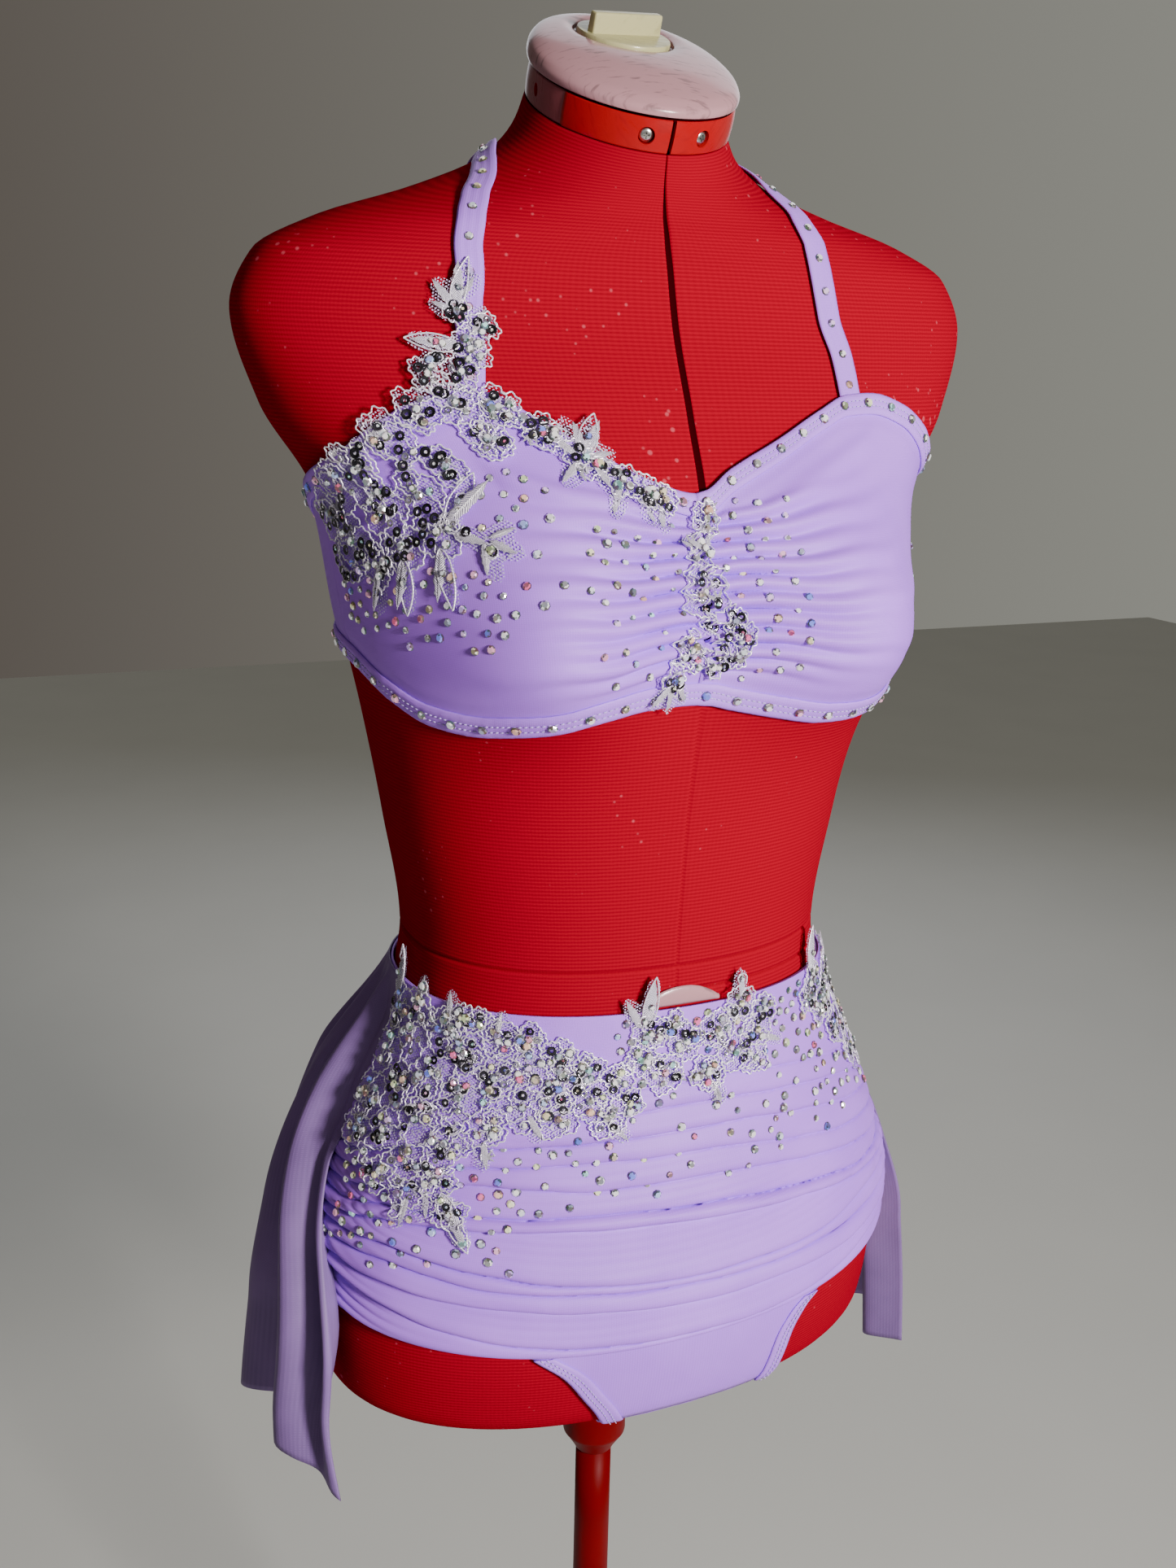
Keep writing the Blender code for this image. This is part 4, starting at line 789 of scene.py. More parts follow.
def topGrid(turns, rows):
    turns = np.where(turns > 180, turns - 360, turns)
    low, high = value(top["lowerEdge"], turns), value(top["upperEdge"], turns)
    shares = np.linspace(0, 1, rows)[:, None]
    return np.tile(turns, (rows, 1)), low + (high - low) * shares


for name, start, end, nodes in (("cupRight", -top["side"] + 0.1, top["centre"] - 0.1, ["cup_right"]),
                                ("cupLeft", top["centre"] + 0.1, top["side"] - 0.1, ["cup_left"])):
    turn, level = topGrid(np.linspace(start, end, 190), 170)
    lift = firstLayer + bridge(turn, level) + gathers(turn, level)
    layCloth(name, turn, level, lift, lilacJersey, nodes)
turn, level = topGrid(np.linspace(top["side"] + 0.1, 360 - top["side"] - 0.1, 130), 40)
layCloth("topBack", turn, level, firstLayer, lilacJersey, ["top_back"])


# A folded edge of the second layer: flat in the middle, rounded down at both edges, with two sewn channels.
def foldedEdge(across, high=0.0012):
    away = np.minimum(across, 1 - across)
    channels = np.exp(-(((across - 0.36) / 0.05) ** 2)) + np.exp(-(((across - 0.64) / 0.05) ** 2))
    return high * ease(away / 0.16) - 0.00025 * channels


def layBinding(name, turns, low, width, nodes):
    across = np.linspace(0, 1, 15)[:, None]
    turn = np.tile(turns, (15, 1))
    level = low + width * across
    lift = secondLayer - 0.0004 + bridge(turn, level) + foldedEdge(across, 0.0009)
    lift = lift + 0.00012 * uneven(turn * 1.9, 3)
    layCloth(name, turn, level, lift, lilacTrim, nodes, thinWall)


def bandFoot(turns):
    return value(top["lowerEdge"], turns) - 0.0006


def bindingFoot(turns):
    return value(top["upperEdge"], turns) - top["binding"] + 0.0008


turns = np.linspace(-179.9, 179.9, 520)
layBinding("underbandJersey", turns, bandFoot(turns), top["band"], ["underband"])
for side, start, end in (("Right", -179.9, top["centre"]), ("Left", top["centre"], 179.9)):
    turns = np.linspace(start, end, 270)
    layBinding("necklineBinding" + side, turns, bindingFoot(turns), top["binding"],
               ["neckline_binding_" + side.lower()])

straps = {
    "width": 0.0135,
    "right": ((-31, 0.5715), (-29, 0.590), (-28, 0.606), (-28, 0.622), (-29, 0.637), (-36, 0.656),
              (-57, 0.672), (-79, 0.681), (-108, 0.687), (-125, 0.682), (-143, 0.673), (-156, 0.660),
              (-162, 0.640), (-164.5, 0.610), (-165.5, 0.575), (-165.5, 0.540), (-165, 0.500),
              (-164.5, 0.4800)),
    "left": ((26.6, 0.5705), (25, 0.595), (23.2, 0.616), (24, 0.638), (31, 0.658), (50, 0.673), (78, 0.684),
             (108, 0.687), (125, 0.682), (143, 0.673), (156, 0.660), (162, 0.640), (164.5, 0.610),
             (165.5, 0.575), (165.5, 0.540), (165, 0.500), (164.5, 0.4800)),
}


# Even steps along a path of turns and levels.
def walk(path, step):
    path = np.asarray(path, float)
    table = np.column_stack([np.linspace(0, 1, len(path)), path])
    track = bare(*np.moveaxis(steady(table, np.linspace(0, 1, 600)), -1, 0))
    length = lengths(track)
    count = max(int(round(length[-1] / step)), 2) + 1
    even = np.interp(np.linspace(0, length[-1], count), length, np.linspace(0, 1, 600))
    turn, level = np.moveaxis(steady(table, even), -1, 0)
    return turn, level, np.linspace(0, length[-1], count)


# Turns and levels beside a path, away metres to its left on the surface.
def beside(turn, level, away):
    run = np.gradient(bare(turn, level), axis=0)
    side = unit(np.cross(normal(turn, level), run))
    return slide(turn, level, side * away)


def layStrap(name, path, nodes):
    turn, level, run = walk(path, 0.0025)
    across = np.linspace(0, 1, 13)
    columns = [beside(turn, level, straps["width"] * (k - 0.5)) for k in across]
    turn, level = (np.array([column[n] for column in columns]) for n in (0, 1))
    lift = firstLayer + 0.0002 + foldedEdge(across[:, None], 0.0008) + 0 * turn
    flat = np.stack(np.broadcast_arrays(across[:, None] * straps["width"], run), -1)
    points = above(turn, level, lift)
    made = finishPiece(name, layGrid(points, flat), lilacTrim, nodes)
    facing = np.cross(points[1, 0] - points[0, 0], points[0, 1] - points[0, 0])
    if facing @ normal(turn[0, 0], level[0, 0]) > 0:
        made.data.flip_normals()
    addWall(made, thinWall)


for side in ("right", "left"):
    layStrap("strap" + side.title(), straps[side], ["strap_" + side])
print("top made")

# The briefs.
briefs = {
    "side": 87.0, "waist": 0.2480, "legBinding": 3.8,  # the leg binding is this many degrees wide
    "frontLeg": (
        (-87, 0.105), (-75, 0.094), (-60, 0.082), (-45, 0.071), (-34, 0.062), (-24.5, 0.052), (-19, 0.039),
        (-15, 0.021), (-12.5, 0.008), (-11, -0.003), (21.2, -0.003), (22.0, 0.012), (22.9, 0.030),
        (26.3, 0.046), (30.4, 0.053), (40, 0.064), (60, 0.082), (75, 0.094), (87, 0.105),
    ),
    "backLeg": (
        (87, 0.105), (110, 0.062), (135, 0.032), (150, 0.014), (159, -0.003), (194, -0.003), (203, 0.010),
        (225, 0.032), (250, 0.062), (273, 0.105),
    ),
    "gusset": (
        ("front", -0.0037, -0.040, 0.071), ("front", -0.008, -0.040, 0.071),
        ("front", -0.0118, -0.039, 0.071), ("under", -0.060, -0.030, 0.073),
        ("under", -0.046, -0.004, 0.074), ("under", -0.022, 0.0245, 0.076), ("under", 0.022, 0.0245, 0.076),
        ("under", 0.046, -0.006, 0.074), ("under", 0.062, -0.038, 0.072), ("back", -0.0118, -0.048, 0.070),
        ("back", -0.008, -0.050, 0.070), ("back", -0.0037, -0.050, 0.070),
    ),
    "legLines": (
        ("legBindingRight", "leg_binding_right", 1,
         ((-0.0026, -11.2), (0.008, -12.7), (0.021, -15.2), (0.039, -19.2), (0.0525, -24.9))),
        ("legBindingLeft", "leg_binding_left", -1,
         ((-0.0026, 21.4), (0.012, 22.2), (0.030, 23.1), (0.046, 26.5), (0.0515, 29.6))),
    ),
}
shares = np.linspace(0, 1, 60)[:, None]
frontTurns = np.concatenate([np.linspace(-86.85, -26, 60), np.linspace(-25, 31, 110),
                             np.linspace(32, 86.85, 55)])
backTurns = np.linspace(briefs["side"] + 0.15, 360 - briefs["side"] - 0.15, 150)
for name, turns, leg, node in (("briefFront", frontTurns, "frontLeg", "brief_front"),
                               ("briefBack", backTurns, "backLeg", "brief_back")):
    low = value(briefs[leg], turns)
    level = low + (briefs["waist"] - low) * shares
    layCloth(name, turns, level, firstLayer, lilacJersey, [node])
rows = []
for place, at, start, end in briefs["gusset"]:
    x = np.linspace(start, end, 5)
    if place == "under":
        underside = body["rimHeight"] + body["sections"][0][0] - firstLayer
        rows.append(np.stack([x, np.full(5, at), np.full(5, underside)], -1))
        continue
    half = steady(body["sections"], at)[0]
    turn = np.degrees(np.arcsin((np.abs(x) / half) ** (body["square"] / 2))) * np.sign(x)
    turn = turn if place == "front" else 180 - turn
    rows.append(above(turn, np.full(5, at), np.full(5, firstLayer)))
gusset = np.array(rows)
flat = np.stack(np.meshgrid(np.linspace(0, 0.1, 5), np.linspace(0, 0.2, len(rows))), -1)
made = finishPiece("gussetJersey", layGrid(gusset, flat), lilacJersey, ["gusset"])
made.data.flip_normals()
addWall(made, clothWall)
for name, node, way, line in briefs["legLines"]:
    level = np.linspace(line[0][0], line[-1][0], 40)[:, None]
    across = np.linspace(0, 1, 9)[None, :]
    turn = value(line, level) + way * briefs["legBinding"] * (across if way > 0 else across[:, ::-1])
    lift = secondLayer - 0.0004 + foldedEdge(across, 0.0005) + 0 * turn
    layCloth(name, turn, level, lift, lilacTrim, [node], thinWall)

ruched = {
    "at": (-87, -80, -60, -40, -15, 5, 25, 50, 80, 87),  # turns at which each crease's level is given
    "creases": (
        # depth of the fold above the crease, then its levels
        (0.0029, (0.0905, 0.0900, 0.0815, 0.0695, 0.0585, 0.0560, 0.0602, 0.0720, 0.0850, 0.0870)),
        (0.0036, (0.0990, 0.0985, 0.0950, 0.0895, 0.0812, 0.0762, 0.0772, 0.0823, 0.0920, 0.0940)),
        (0.0028, (0.1070, 0.1065, 0.1065, 0.1003, 0.0926, 0.0878, 0.0883, 0.0925, 0.0985, 0.1000)),
        (0.0032, (0.1135, 0.1135, 0.1155, 0.1085, 0.0985, 0.0935, 0.0950, 0.1040, 0.1050, 0.1060)),
        (0.0034, (0.1200, 0.1205, 0.1285, 0.1312, 0.1300, 0.1262, 0.1218, 0.1140, 0.1110, 0.1115)),
        (0.0018, (0.1265, 0.1275, 0.1355, 0.1380, 0.1375, 0.1345, 0.1290, 0.1200, 0.1175, 0.1180)),
        (0.0020, (0.1345, 0.1360, 0.1470, 0.1550, 0.1515, 0.1502, 0.1440, 0.1320, 0.1260, 0.1260)),
        (0.0018, (0.1430, 0.1450, 0.1580, 0.1645, 0.1668, 0.1648, 0.1565, 0.1450, 0.1360, 0.1350)),
        (0.0018, (0.1520, 0.1540, 0.1680, 0.1750, 0.1780, 0.1787, 0.1725, 0.1600, 0.1460, 0.1450)),
        (0.0014, (0.1620, 0.1640, 0.1790, 0.1870, 0.1915, 0.1925, 0.1875, 0.1760, 0.1570, 0.1560)),
        (0.0010, (0.1750, 0.1770, 0.1900, 0.1990, 0.2050, 0.2060, 0.2010, 0.1900, 0.1700, 0.1690)),
    ),
    # How soon a fold rises and sinks, how much fuller all of them are drawn, the fine folds, and the hem.
    "steep": 0.0026, "spent": 0.0095, "fuller": 3.3, "fineRise": 0.0009, "hemLevel": 0.0525, "hemRise": 0.017,
}


def creaseLevel(start, rise, turn):
    return start + rise * (np.abs(turn) / 80) ** 1.6


# How far the ruched panel stands out: above each crease the cloth rolls out steeply and then sinks back.
def ruching(turn, level):
    turn, level = np.broadcast_arrays(np.asarray(turn, float), np.asarray(level, float))
    out = np.zeros(turn.shape)
    fold = 0.0020 * np.ones(turn.shape)
    start = creaseLevel(ruched["hemLevel"], ruched["hemRise"], turn)
    sides = 1 + 0.35 * ease((np.abs(turn) - 45) / 35)
    for k, (deep, levels) in enumerate(ruched["creases"] + ((0.0, (1.0,) * len(ruched["at"])),)):
        crease = value(np.column_stack([ruched["at"], levels]), turn) + 0.0005 * uneven(turn / 5 + k, k)
        over = np.maximum(level - start, 0)
        roll = fold * (1 - np.exp(-over / ruched["steep"])) * np.exp(-over / ruched["spent"])
        roll = roll * (1 - np.exp(-np.maximum(crease - level, 0) / 0.0010))
        out = np.where((level >= start) & (level < crease), roll, out)
        out = out - 0.00022 * np.exp(-(((level - crease) / 0.0010) ** 2))
        start = crease
        fold = deep * (0.9 + 0.25 * uneven(turn / 16 + k * 1.9, k)) * sides
    return out * ruched["fuller"]


def fineFolds(turn, level):
    start = level - 0.030 * ease((0.17 - level) / 0.06) * (np.abs(turn) / 80) ** 1.6
    ripple = np.sin(start * 1250 + 1.5 * uneven(turn / 13, 1))
    ripple = ripple * (0.5 + 0.5 * uneven(turn / 19 + start * 60, 4))
    edge = 0.18 + ease((np.abs(turn) - 45) / 35)
    return ruched["fineRise"] * ripple * edge * ease((level - 0.052) / 0.006) * ease((0.235 - level) / 0.03)


turn = np.linspace(-86.8, 86.8, 190)
low = creaseLevel(ruched["hemLevel"], ruched["hemRise"], turn)
level = low + (briefs["waist"] + 0.0005 - low) * np.linspace(0, 1, 240)[:, None]
lift = secondLayer + 0.0004 + ruching(turn, level) + fineFolds(turn, level)
layCloth("ruchedPanel", turn, level, lift, lilacJersey, ["ruched_panel"], thinWall)

skirt = {
    "folds": 13, "puffTurn": 22.0, "top": 0.2485,
    # Share of the way round from the wearer's right, level of the hem there.
    "hem": ((0, -0.030), (0.02, -0.020), (0.05, -0.011), (0.12, -0.034), (0.25, -0.068), (0.5, -0.105),
            (0.75, -0.095), (0.9, -0.075), (1, -0.062)),
    # Level, how far the crests stand off the form there.
    "stand": ((-0.12, 0.052), (-0.02, 0.044), (0.04, 0.037), (0.10, 0.030), (0.176, 0.026), (0.22, 0.014),
              (0.24, 0.006), (0.2485, 0.0032)),
}


def skirtPoints(share, level):
    side = briefs["side"]
    turn = -side - 0.1 - (360 - 2 * side - 0.2) * share
    loose = ease((0.175 - level) / 0.13)
    swing = skirt["puffTurn"] + 5.0 * ease((0.02 - level) / 0.07)
    turn = turn + loose * (swing * (1 - ease(share / 0.14)) - 8 * ease((share - 0.88) / 0.12))
    base, out = bare(turn, np.maximum(level, 0.035)), normal(turn, np.maximum(level, 0.035))
    out[..., 2] = 0
    out = unit(out)
    edge = secondLayer + 0.0004 + 0.0066 * ease((0.166 - level) / 0.024)
    inward = np.minimum(share, 1 - share)
    free = ease(inward / 0.045)
    free = free + (1 - free) * 0.75 * loose  # below the ruching its front edges stand out by themselves
    crest = value(skirt["stand"], level)
    depth = 0.0120 + 0.0220 * ease((0.235 - level) / 0.25)
    below = skirt["top"] - level
    depth = np.minimum(depth * ease(below / 0.03), 0.85 * crest)
    drift = 0.012 * uneven(share * 9, 2) * ease(below / 0.1) * ease(inward / 0.1)
    phase = (share + drift) * skirt["folds"] + (1 - np.exp(-share / 0.04)) - 0.14
    wave = (0.5 - 0.5 * np.cos(2 * np.pi * phase)) ** 1.1
    corner = ease((0.08 - level) / 0.12) * ease((0.05 - share) / 0.02)  # the front corner hangs flat
    wave = wave * (1 - 0.85 * corner)
    small = 0.0012 * np.sin(share * 240 + 40 * level) * ease(below / 0.02) * ease((level - 0.05) / 0.15)
    flare = 0.003 * ease((share - 0.80) / 0.15) * ease((0.10 - level) / 0.12)
    stand = edge + np.maximum(crest - edge, 0) * free - depth * wave * free + flare + small * free
    stand = np.maximum(stand, edge * 0.8)
    point = base + out * stand[..., None]
    point[..., 2] = body["rimHeight"] + level
    return point


share = np.linspace(0, 1, 420)
drop = np.linspace(0, 1, 90)[:, None] ** 1.15
level = skirt["top"] + (value(skirt["hem"], share) - skirt["top"]) * drop
share = np.tile(share, (90, 1))
points = skirtPoints(share, level)
flat = np.stack([share * 0.62, level], -1)
backSkirt = finishPiece("backSkirt", layGrid(points, flat), lilacMesh, ["back_skirt"])
addWall(backSkirt, thinWall)
print("briefs and skirt made")


def overTop(turn, level):
    low, high = value(top["lowerEdge"], turn), value(top["upperEdge"], turn)
    edge = np.maximum(ease((level - (high - top["binding"] - 0.010)) / 0.008),
                      ease((low + top["band"] + 0.010 - level) / 0.008))
    return firstLayer + clothWall + bridge(turn, level) + gathers(turn, level) + 0.0007 + 0.0017 * edge


def overCentre(turn, level):
    return overTop(turn, level) + 0.0007


def overStrap(turn, level):
    return secondLayer + clothWall + 0.0005 - 0.0008 * ease((level - 0.580) / 0.008)


def overPanel(turn, level):
    folds = ruching(turn, np.minimum(level, briefs["waist"]))
    return secondLayer + clothWall + 0.0009 + folds + 0.0013 * ease((0.19 - level) / 0.03)


# The lace. Flowers: turn, level, radius in mm, petals. Leaves: turn and level of the root, heading in degrees
# from the wearer's left upwards, length and half width in mm. Scrolls: turn, level, radius in mm, from and to
# which angle, half width in mm. Each lace also has its node, what it lies on, the level at which its turns
# are measured, the area to each curl, and how far it lies out.
laces = {
    "laceCup": {
        "node": "lace_cup", "on": ["cup_right"], "level": 0.52,
        "curlArea": 0.00018, "lift": overTop,
        "flowers": ((-78, 0.513, 12, 5), (-69, 0.528, 12, 4), (-71, 0.500, 12, 5), (-61, 0.537, 11, 4),
                    (-59, 0.517, 12, 5), (-49, 0.552, 11, 5), (-49, 0.524, 11, 4), (-41, 0.564, 9.5, 5),
                    (-34, 0.567, 9, 4), (-27.5, 0.565, 9, 5), (-31, 0.551, 9, 4), (-22, 0.554, 8, 5),
                    (-56, 0.500, 11, 5), (-47, 0.507, 11, 5), (-64, 0.490, 9, 4), (-41, 0.538, 8, 4),
                    (-17, 0.541, 8, 5), (-12.5, 0.531, 7, 4), (-9, 0.526, 7, 5), (-6.3, 0.522, 6, 4)),
        "leaves": ((-47, 0.500, -85, 26, 3.6), (-56, 0.494, -95, 25, 3.6), (-45, 0.511, 48, 30, 3.6),
                   (-64, 0.486, -100, 20, 3.4), (-44, 0.507, -12, 20, 3.4), (-37, 0.505, 25, 14, 3.2),
                   (-37, 0.504, -22, 16, 3.2), (-38, 0.504, -75, 18, 3.4), (-17, 0.542, 100, 19, 3.2),
                   (-17, 0.542, 62, 22, 3.4), (-18, 0.542, 140, 16, 3.2), (-17, 0.541, 12, 15, 3.2),
                   (-18, 0.540, -132, 16, 3.2), (-16, 0.538, -62, 14, 3.0), (-13, 0.529, -112, 17, 3.2),
                   (-10, 0.524, -72, 15, 3.2), (-7, 0.520, -96, 14, 3.2)),
        "scrolls": ((-44.5, 0.532, 13, 40, 215, 2.7), (-54, 0.537, 12, 100, 260, 2.6),
                    (-66, 0.512, 13, 120, 290, 2.6), (-74, 0.492, 10, 150, 330, 2.4),
                    (-54, 0.511, 10, 250, 400, 2.4)),
    },
    "laceStrap": {
        "node": "lace_strap", "on": ["strap_right"], "level": 0.595,
        "curlArea": 0.00050, "lift": overStrap,
        "flowers": ((-37, 0.5805, 7.5, 4), (-31.5, 0.5815, 7.5, 5), (-29, 0.5925, 9, 5), (-26, 0.604, 6, 4),
                    (-30, 0.611, 5.5, 4)),
        "leaves": ((-30.5, 0.594, 172, 24, 3.6), (-30, 0.611, 86, 25, 3.2), (-30, 0.612, 128, 18, 3.2),
                   (-30, 0.611, 160, 13, 3.2), (-28, 0.600, 62, 15, 3.2), (-29, 0.618, 60, 12, 3.0)),
        "scrolls": ((-34.5, 0.5815, 7, 60, 250, 2.0),),
    },
    "laceCentre": {
        "node": "lace_centre", "on": ["cup_right", "cup_left"], "level": 0.48,
        "curlArea": 0.00060, "lift": overCentre,
        "flowers": ((-0.5, 0.5130, 7.5, 5), (-2, 0.4985, 7.5, 4), (-2, 0.4790, 13, 6), (1.8, 0.4655, 6, 4),
                    (3.6, 0.4580, 5.5, 4), (2.6, 0.4495, 5.5, 4), (0, 0.4445, 5.5, 4),
                    (-2.8, 0.4480, 5.5, 4), (-5, 0.4540, 7.5, 5), (-7, 0.4400, 6.5, 4)),
        "leaves": ((-0.5, 0.512, -92, 14, 3.2), (-7, 0.438, -138, 17, 3.2), (-7, 0.437, -92, 14, 3.2),
                   (-6, 0.438, -58, 13, 3.2), (-2, 0.498, 150, 11, 3.0)),
        "scrolls": ((-1.0, 0.4545, 9, -60, 120, 2.4),),
    },
    "laceWaistRight": {
        "node": "lace_waist_right", "on": ["ruched_panel"], "level": 0.2,
        "curlArea": 0.00014, "lift": overPanel,
        "flowers": ((-81, 0.235, 12, 5), (-81, 0.210, 12, 4), (-80, 0.184, 12, 5), (-79, 0.165, 10, 4),
                    (-72, 0.240, 9, 4), (-72, 0.221, 12, 5), (-71, 0.196, 12, 5), (-69, 0.173, 10, 4),
                    (-62, 0.233, 12, 5), (-61, 0.208, 12, 4), (-60, 0.184, 12, 5), (-60, 0.163, 9, 4),
                    (-57, 0.148, 8, 4), (-52, 0.224, 11, 5), (-50, 0.200, 12, 5), (-50, 0.176, 11, 4),
                    (-50, 0.156, 9, 5), (-43, 0.234, 10, 4), (-42, 0.213, 11, 5), (-41, 0.187, 9, 4),
                    (-34, 0.220, 12, 5), (-33.5, 0.199, 11, 4), (-26, 0.209, 11, 5), (-25, 0.193, 9, 4),
                    (-18.5, 0.202, 10, 5), (-14.5, 0.192, 9, 4), (-35, 0.236, 8, 4), (-27, 0.227, 9, 5),
                    (-19.5, 0.219, 8, 4), (-49, 0.241, 8, 4), (-55, 0.243, 7, 5), (-13, 0.212, 8, 4),
                    (-10, 0.199, 7, 5), (-66, 0.150, 8, 4), (-45, 0.140, 7, 4)),
        "leaves": ((-72, 0.242, 85, 17, 3.4), (-59, 0.238, 95, 18, 3.4), (-84, 0.240, 92, 28, 4.0),
                   (-48, 0.150, -60, 32, 3.8), (-56, 0.145, -100, 18, 3.4), (-52, 0.150, -84, 16, 3.4),
                   (-41, 0.180, -80, 16, 3.4), (-32, 0.195, -58, 16, 3.4), (-14, 0.189, -45, 15, 3.4),
                   (-44, 0.236, 80, 14, 3.4)),
        "scrolls": ((-54, 0.212, 13, 30, 200, 2.6), (-38, 0.205, 12, 60, 230, 2.6),
                    (-66, 0.200, 13, 150, 330, 2.6), (-76, 0.222, 12, 60, 220, 2.5),
                    (-56, 0.172, 11, 200, 360, 2.4), (-24, 0.205, 10, 20, 190, 2.4),
                    (-68, 0.160, 9, 180, 320, 2.4)),
    },
    "laceWaistFront": {
        "node": "lace_waist_front", "on": ["ruched_panel"], "level": 0.225,
        "curlArea": 0.00020, "lift": overPanel,
        "flowers": ((-6, 0.237, 9, 5), (-3, 0.213, 10, 5), (1, 0.229, 9, 4), (5, 0.209, 9, 5),
                    (8, 0.233, 10, 5), (14.5, 0.245, 9, 4), (12, 0.217, 10, 5), (19, 0.227, 9, 5),
                    (-8, 0.222, 8, 4), (22, 0.238, 8, 5), (17, 0.211, 8, 4), (-1, 0.240, 7, 4)),
        "leaves": ((-7, 0.240, 80, 28, 3.6), (-8, 0.240, 118, 19, 3.4), (15, 0.248, 92, 17, 3.8),
                   (21, 0.222, -25, 14, 3.4), (6, 0.203, -70, 14, 3.4)),
        "scrolls": ((3, 0.222, 11, 30, 180, 2.5), (13, 0.230, 11, 200, 350, 2.5)),
    },
    "laceWaistLeft": {
        "node": "lace_waist_left", "on": ["ruched_panel"], "level": 0.215,
        "curlArea": 0.00018, "lift": overPanel,
        "flowers": ((46, 0.240, 10, 5), (53, 0.223, 11, 5), (58, 0.202, 10, 4), (60, 0.185, 9, 4),
                    (61, 0.235, 12, 5), (69, 0.222, 13, 5), (77, 0.235, 12, 4), (77, 0.212, 12, 5),
                    (47, 0.222, 9, 4), (52, 0.203, 8, 5), (69, 0.200, 11, 5), (67, 0.181, 9, 4),
                    (41, 0.232, 8, 5)),
        "leaves": ((45, 0.245, 82, 28, 3.8), (61, 0.182, -80, 17, 3.4), (70, 0.214, -85, 20, 3.4),
                   (79, 0.205, -80, 16, 3.4), (66, 0.240, 85, 18, 3.4)),
        "scrolls": ((57, 0.224, 12, 40, 200, 2.5), (70, 0.232, 12, 90, 250, 2.5),
                    (65, 0.205, 11, 220, 360, 2.4)),
    },
}
laceMake = {
    "braidHalf": 0.00045, "braidLift": 0.0010, "gap": 0.0026, "grow": 1.12, "petalReach": 0.53,
    "petalSize": 0.52, "wobble": 0.00065, "wobbleStep": 0.0043, "sequinStep": 0.0056,
    "curl": (0.0024, 0.0042),
}
wrap = np.linspace(-100, 100, 801)
for motifs in laces.values():
    way = lengths(bare(wrap, motifs["level"]))
    motifs["girth"] = way - way[400]  # metres round the form to each turn, at the lace's own height
    for kind in ("flowers", "leaves", "scrolls"):
        motifs[kind] = [(float(np.interp(turn, wrap, motifs["girth"])), *rest)
                        for turn, *rest in motifs[kind]]


# Above nought inside the motifs, in metres from their edge.
def laceField(u, v, motifs):
    total, blend = np.zeros(u.shape), 0.0014
    for place, level, radius, petals in motifs["flowers"]:
        x, y = u - place, v - level
        lobes = 0.93 + 0.12 * np.cos(petals * (np.arctan2(y, x) - np.radians(place * 3000)))
        total += np.exp((radius * 0.001 * lobes - np.hypot(x, y)) / blend)
    for place, level, heading, length, half in motifs["leaves"]:
        way = math.radians(heading)
        x, y = u - place, v - level
        along = (x * math.cos(way) + y * math.sin(way)) / (length * 0.001)
        across = np.abs(y * math.cos(way) - x * math.sin(way))
        width = half * 0.001 * np.sqrt(np.clip(4 * along * (1 - along), 0, 1)) + 0.0003
        over = np.maximum(np.maximum(-along, along - 1), 0) * length * 0.001
        total += np.exp((width - across - over) / blend)
    for place, level, radius, start, end, half in motifs["scrolls"]:
        x, y = u - place, v - level
        angle = (np.degrees(np.arctan2(y, x)) - start) % 360
        past = np.where(angle > end - start, np.minimum(angle - (end - start), 360 - angle), 0)
        away = np.abs(np.hypot(x, y) - radius * 0.001) + np.radians(past) * radius * 0.001
        total += np.exp((half * 0.001 - away) / blend)
    return blend * np.log(total + 1e-30)


# A ruffled closed outline: its radius at an angle.
def outline(angle, radius, seed, inset=0.0):
    ruffles = max(int(round(2 * np.pi * radius / laceMake["wobbleStep"])), 5)
    wobble = laceMake["wobble"] * np.sin(ruffles * angle + seed) + 0.0004 * np.sin(2 * angle + seed * 1.7)
    return radius * (1 + 0.06 * np.sin(3 * angle + seed * 2.1)) + wobble - inset


# Braids along open or closed lines of points, as one mesh.
def layBraids(name, lines, thickness, material):
    curve = bpy.data.curves.new(name, "CURVE")
    curve.dimensions = "3D"
    curve.bevel_depth = thickness
    curve.bevel_resolution = 1
    for points, closed in lines:
        spline = curve.splines.new("POLY")
        spline.points.add(len(points) - 1)
        spline.points.foreach_set("co", np.column_stack([points, np.ones(len(points))]).ravel())
        spline.use_cyclic_u = closed
    holder = newObject(name + "Line", curve)
    mesh = bakedMesh(holder)
    bpy.data.objects.remove(holder)
    bpy.data.curves.remove(curve)
    mesh.name = name
    mesh.materials.clear()
    mesh.materials.append(material)
    mesh.shade_smooth()
    made = newObject(name, mesh)
    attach(made, wearer)
    return made


# Places on the surface: how a small piece is turned at a turn and level, headed in degrees from the wearer's
# left upwards and scaled, and where it stands.
def standAt(turn, level, lift, heading, size):
    turn, level, lift, heading, size = np.broadcast_arrays(turn, level, lift, heading, size)
    left, rise, up = axesAt(turn, level)
    way = np.radians(heading)[..., None]
    x = left * np.cos(way) + rise * np.sin(way)
    return np.stack([x, np.cross(up, x), up], -1) * size[..., None, None], above(turn, level, lift)


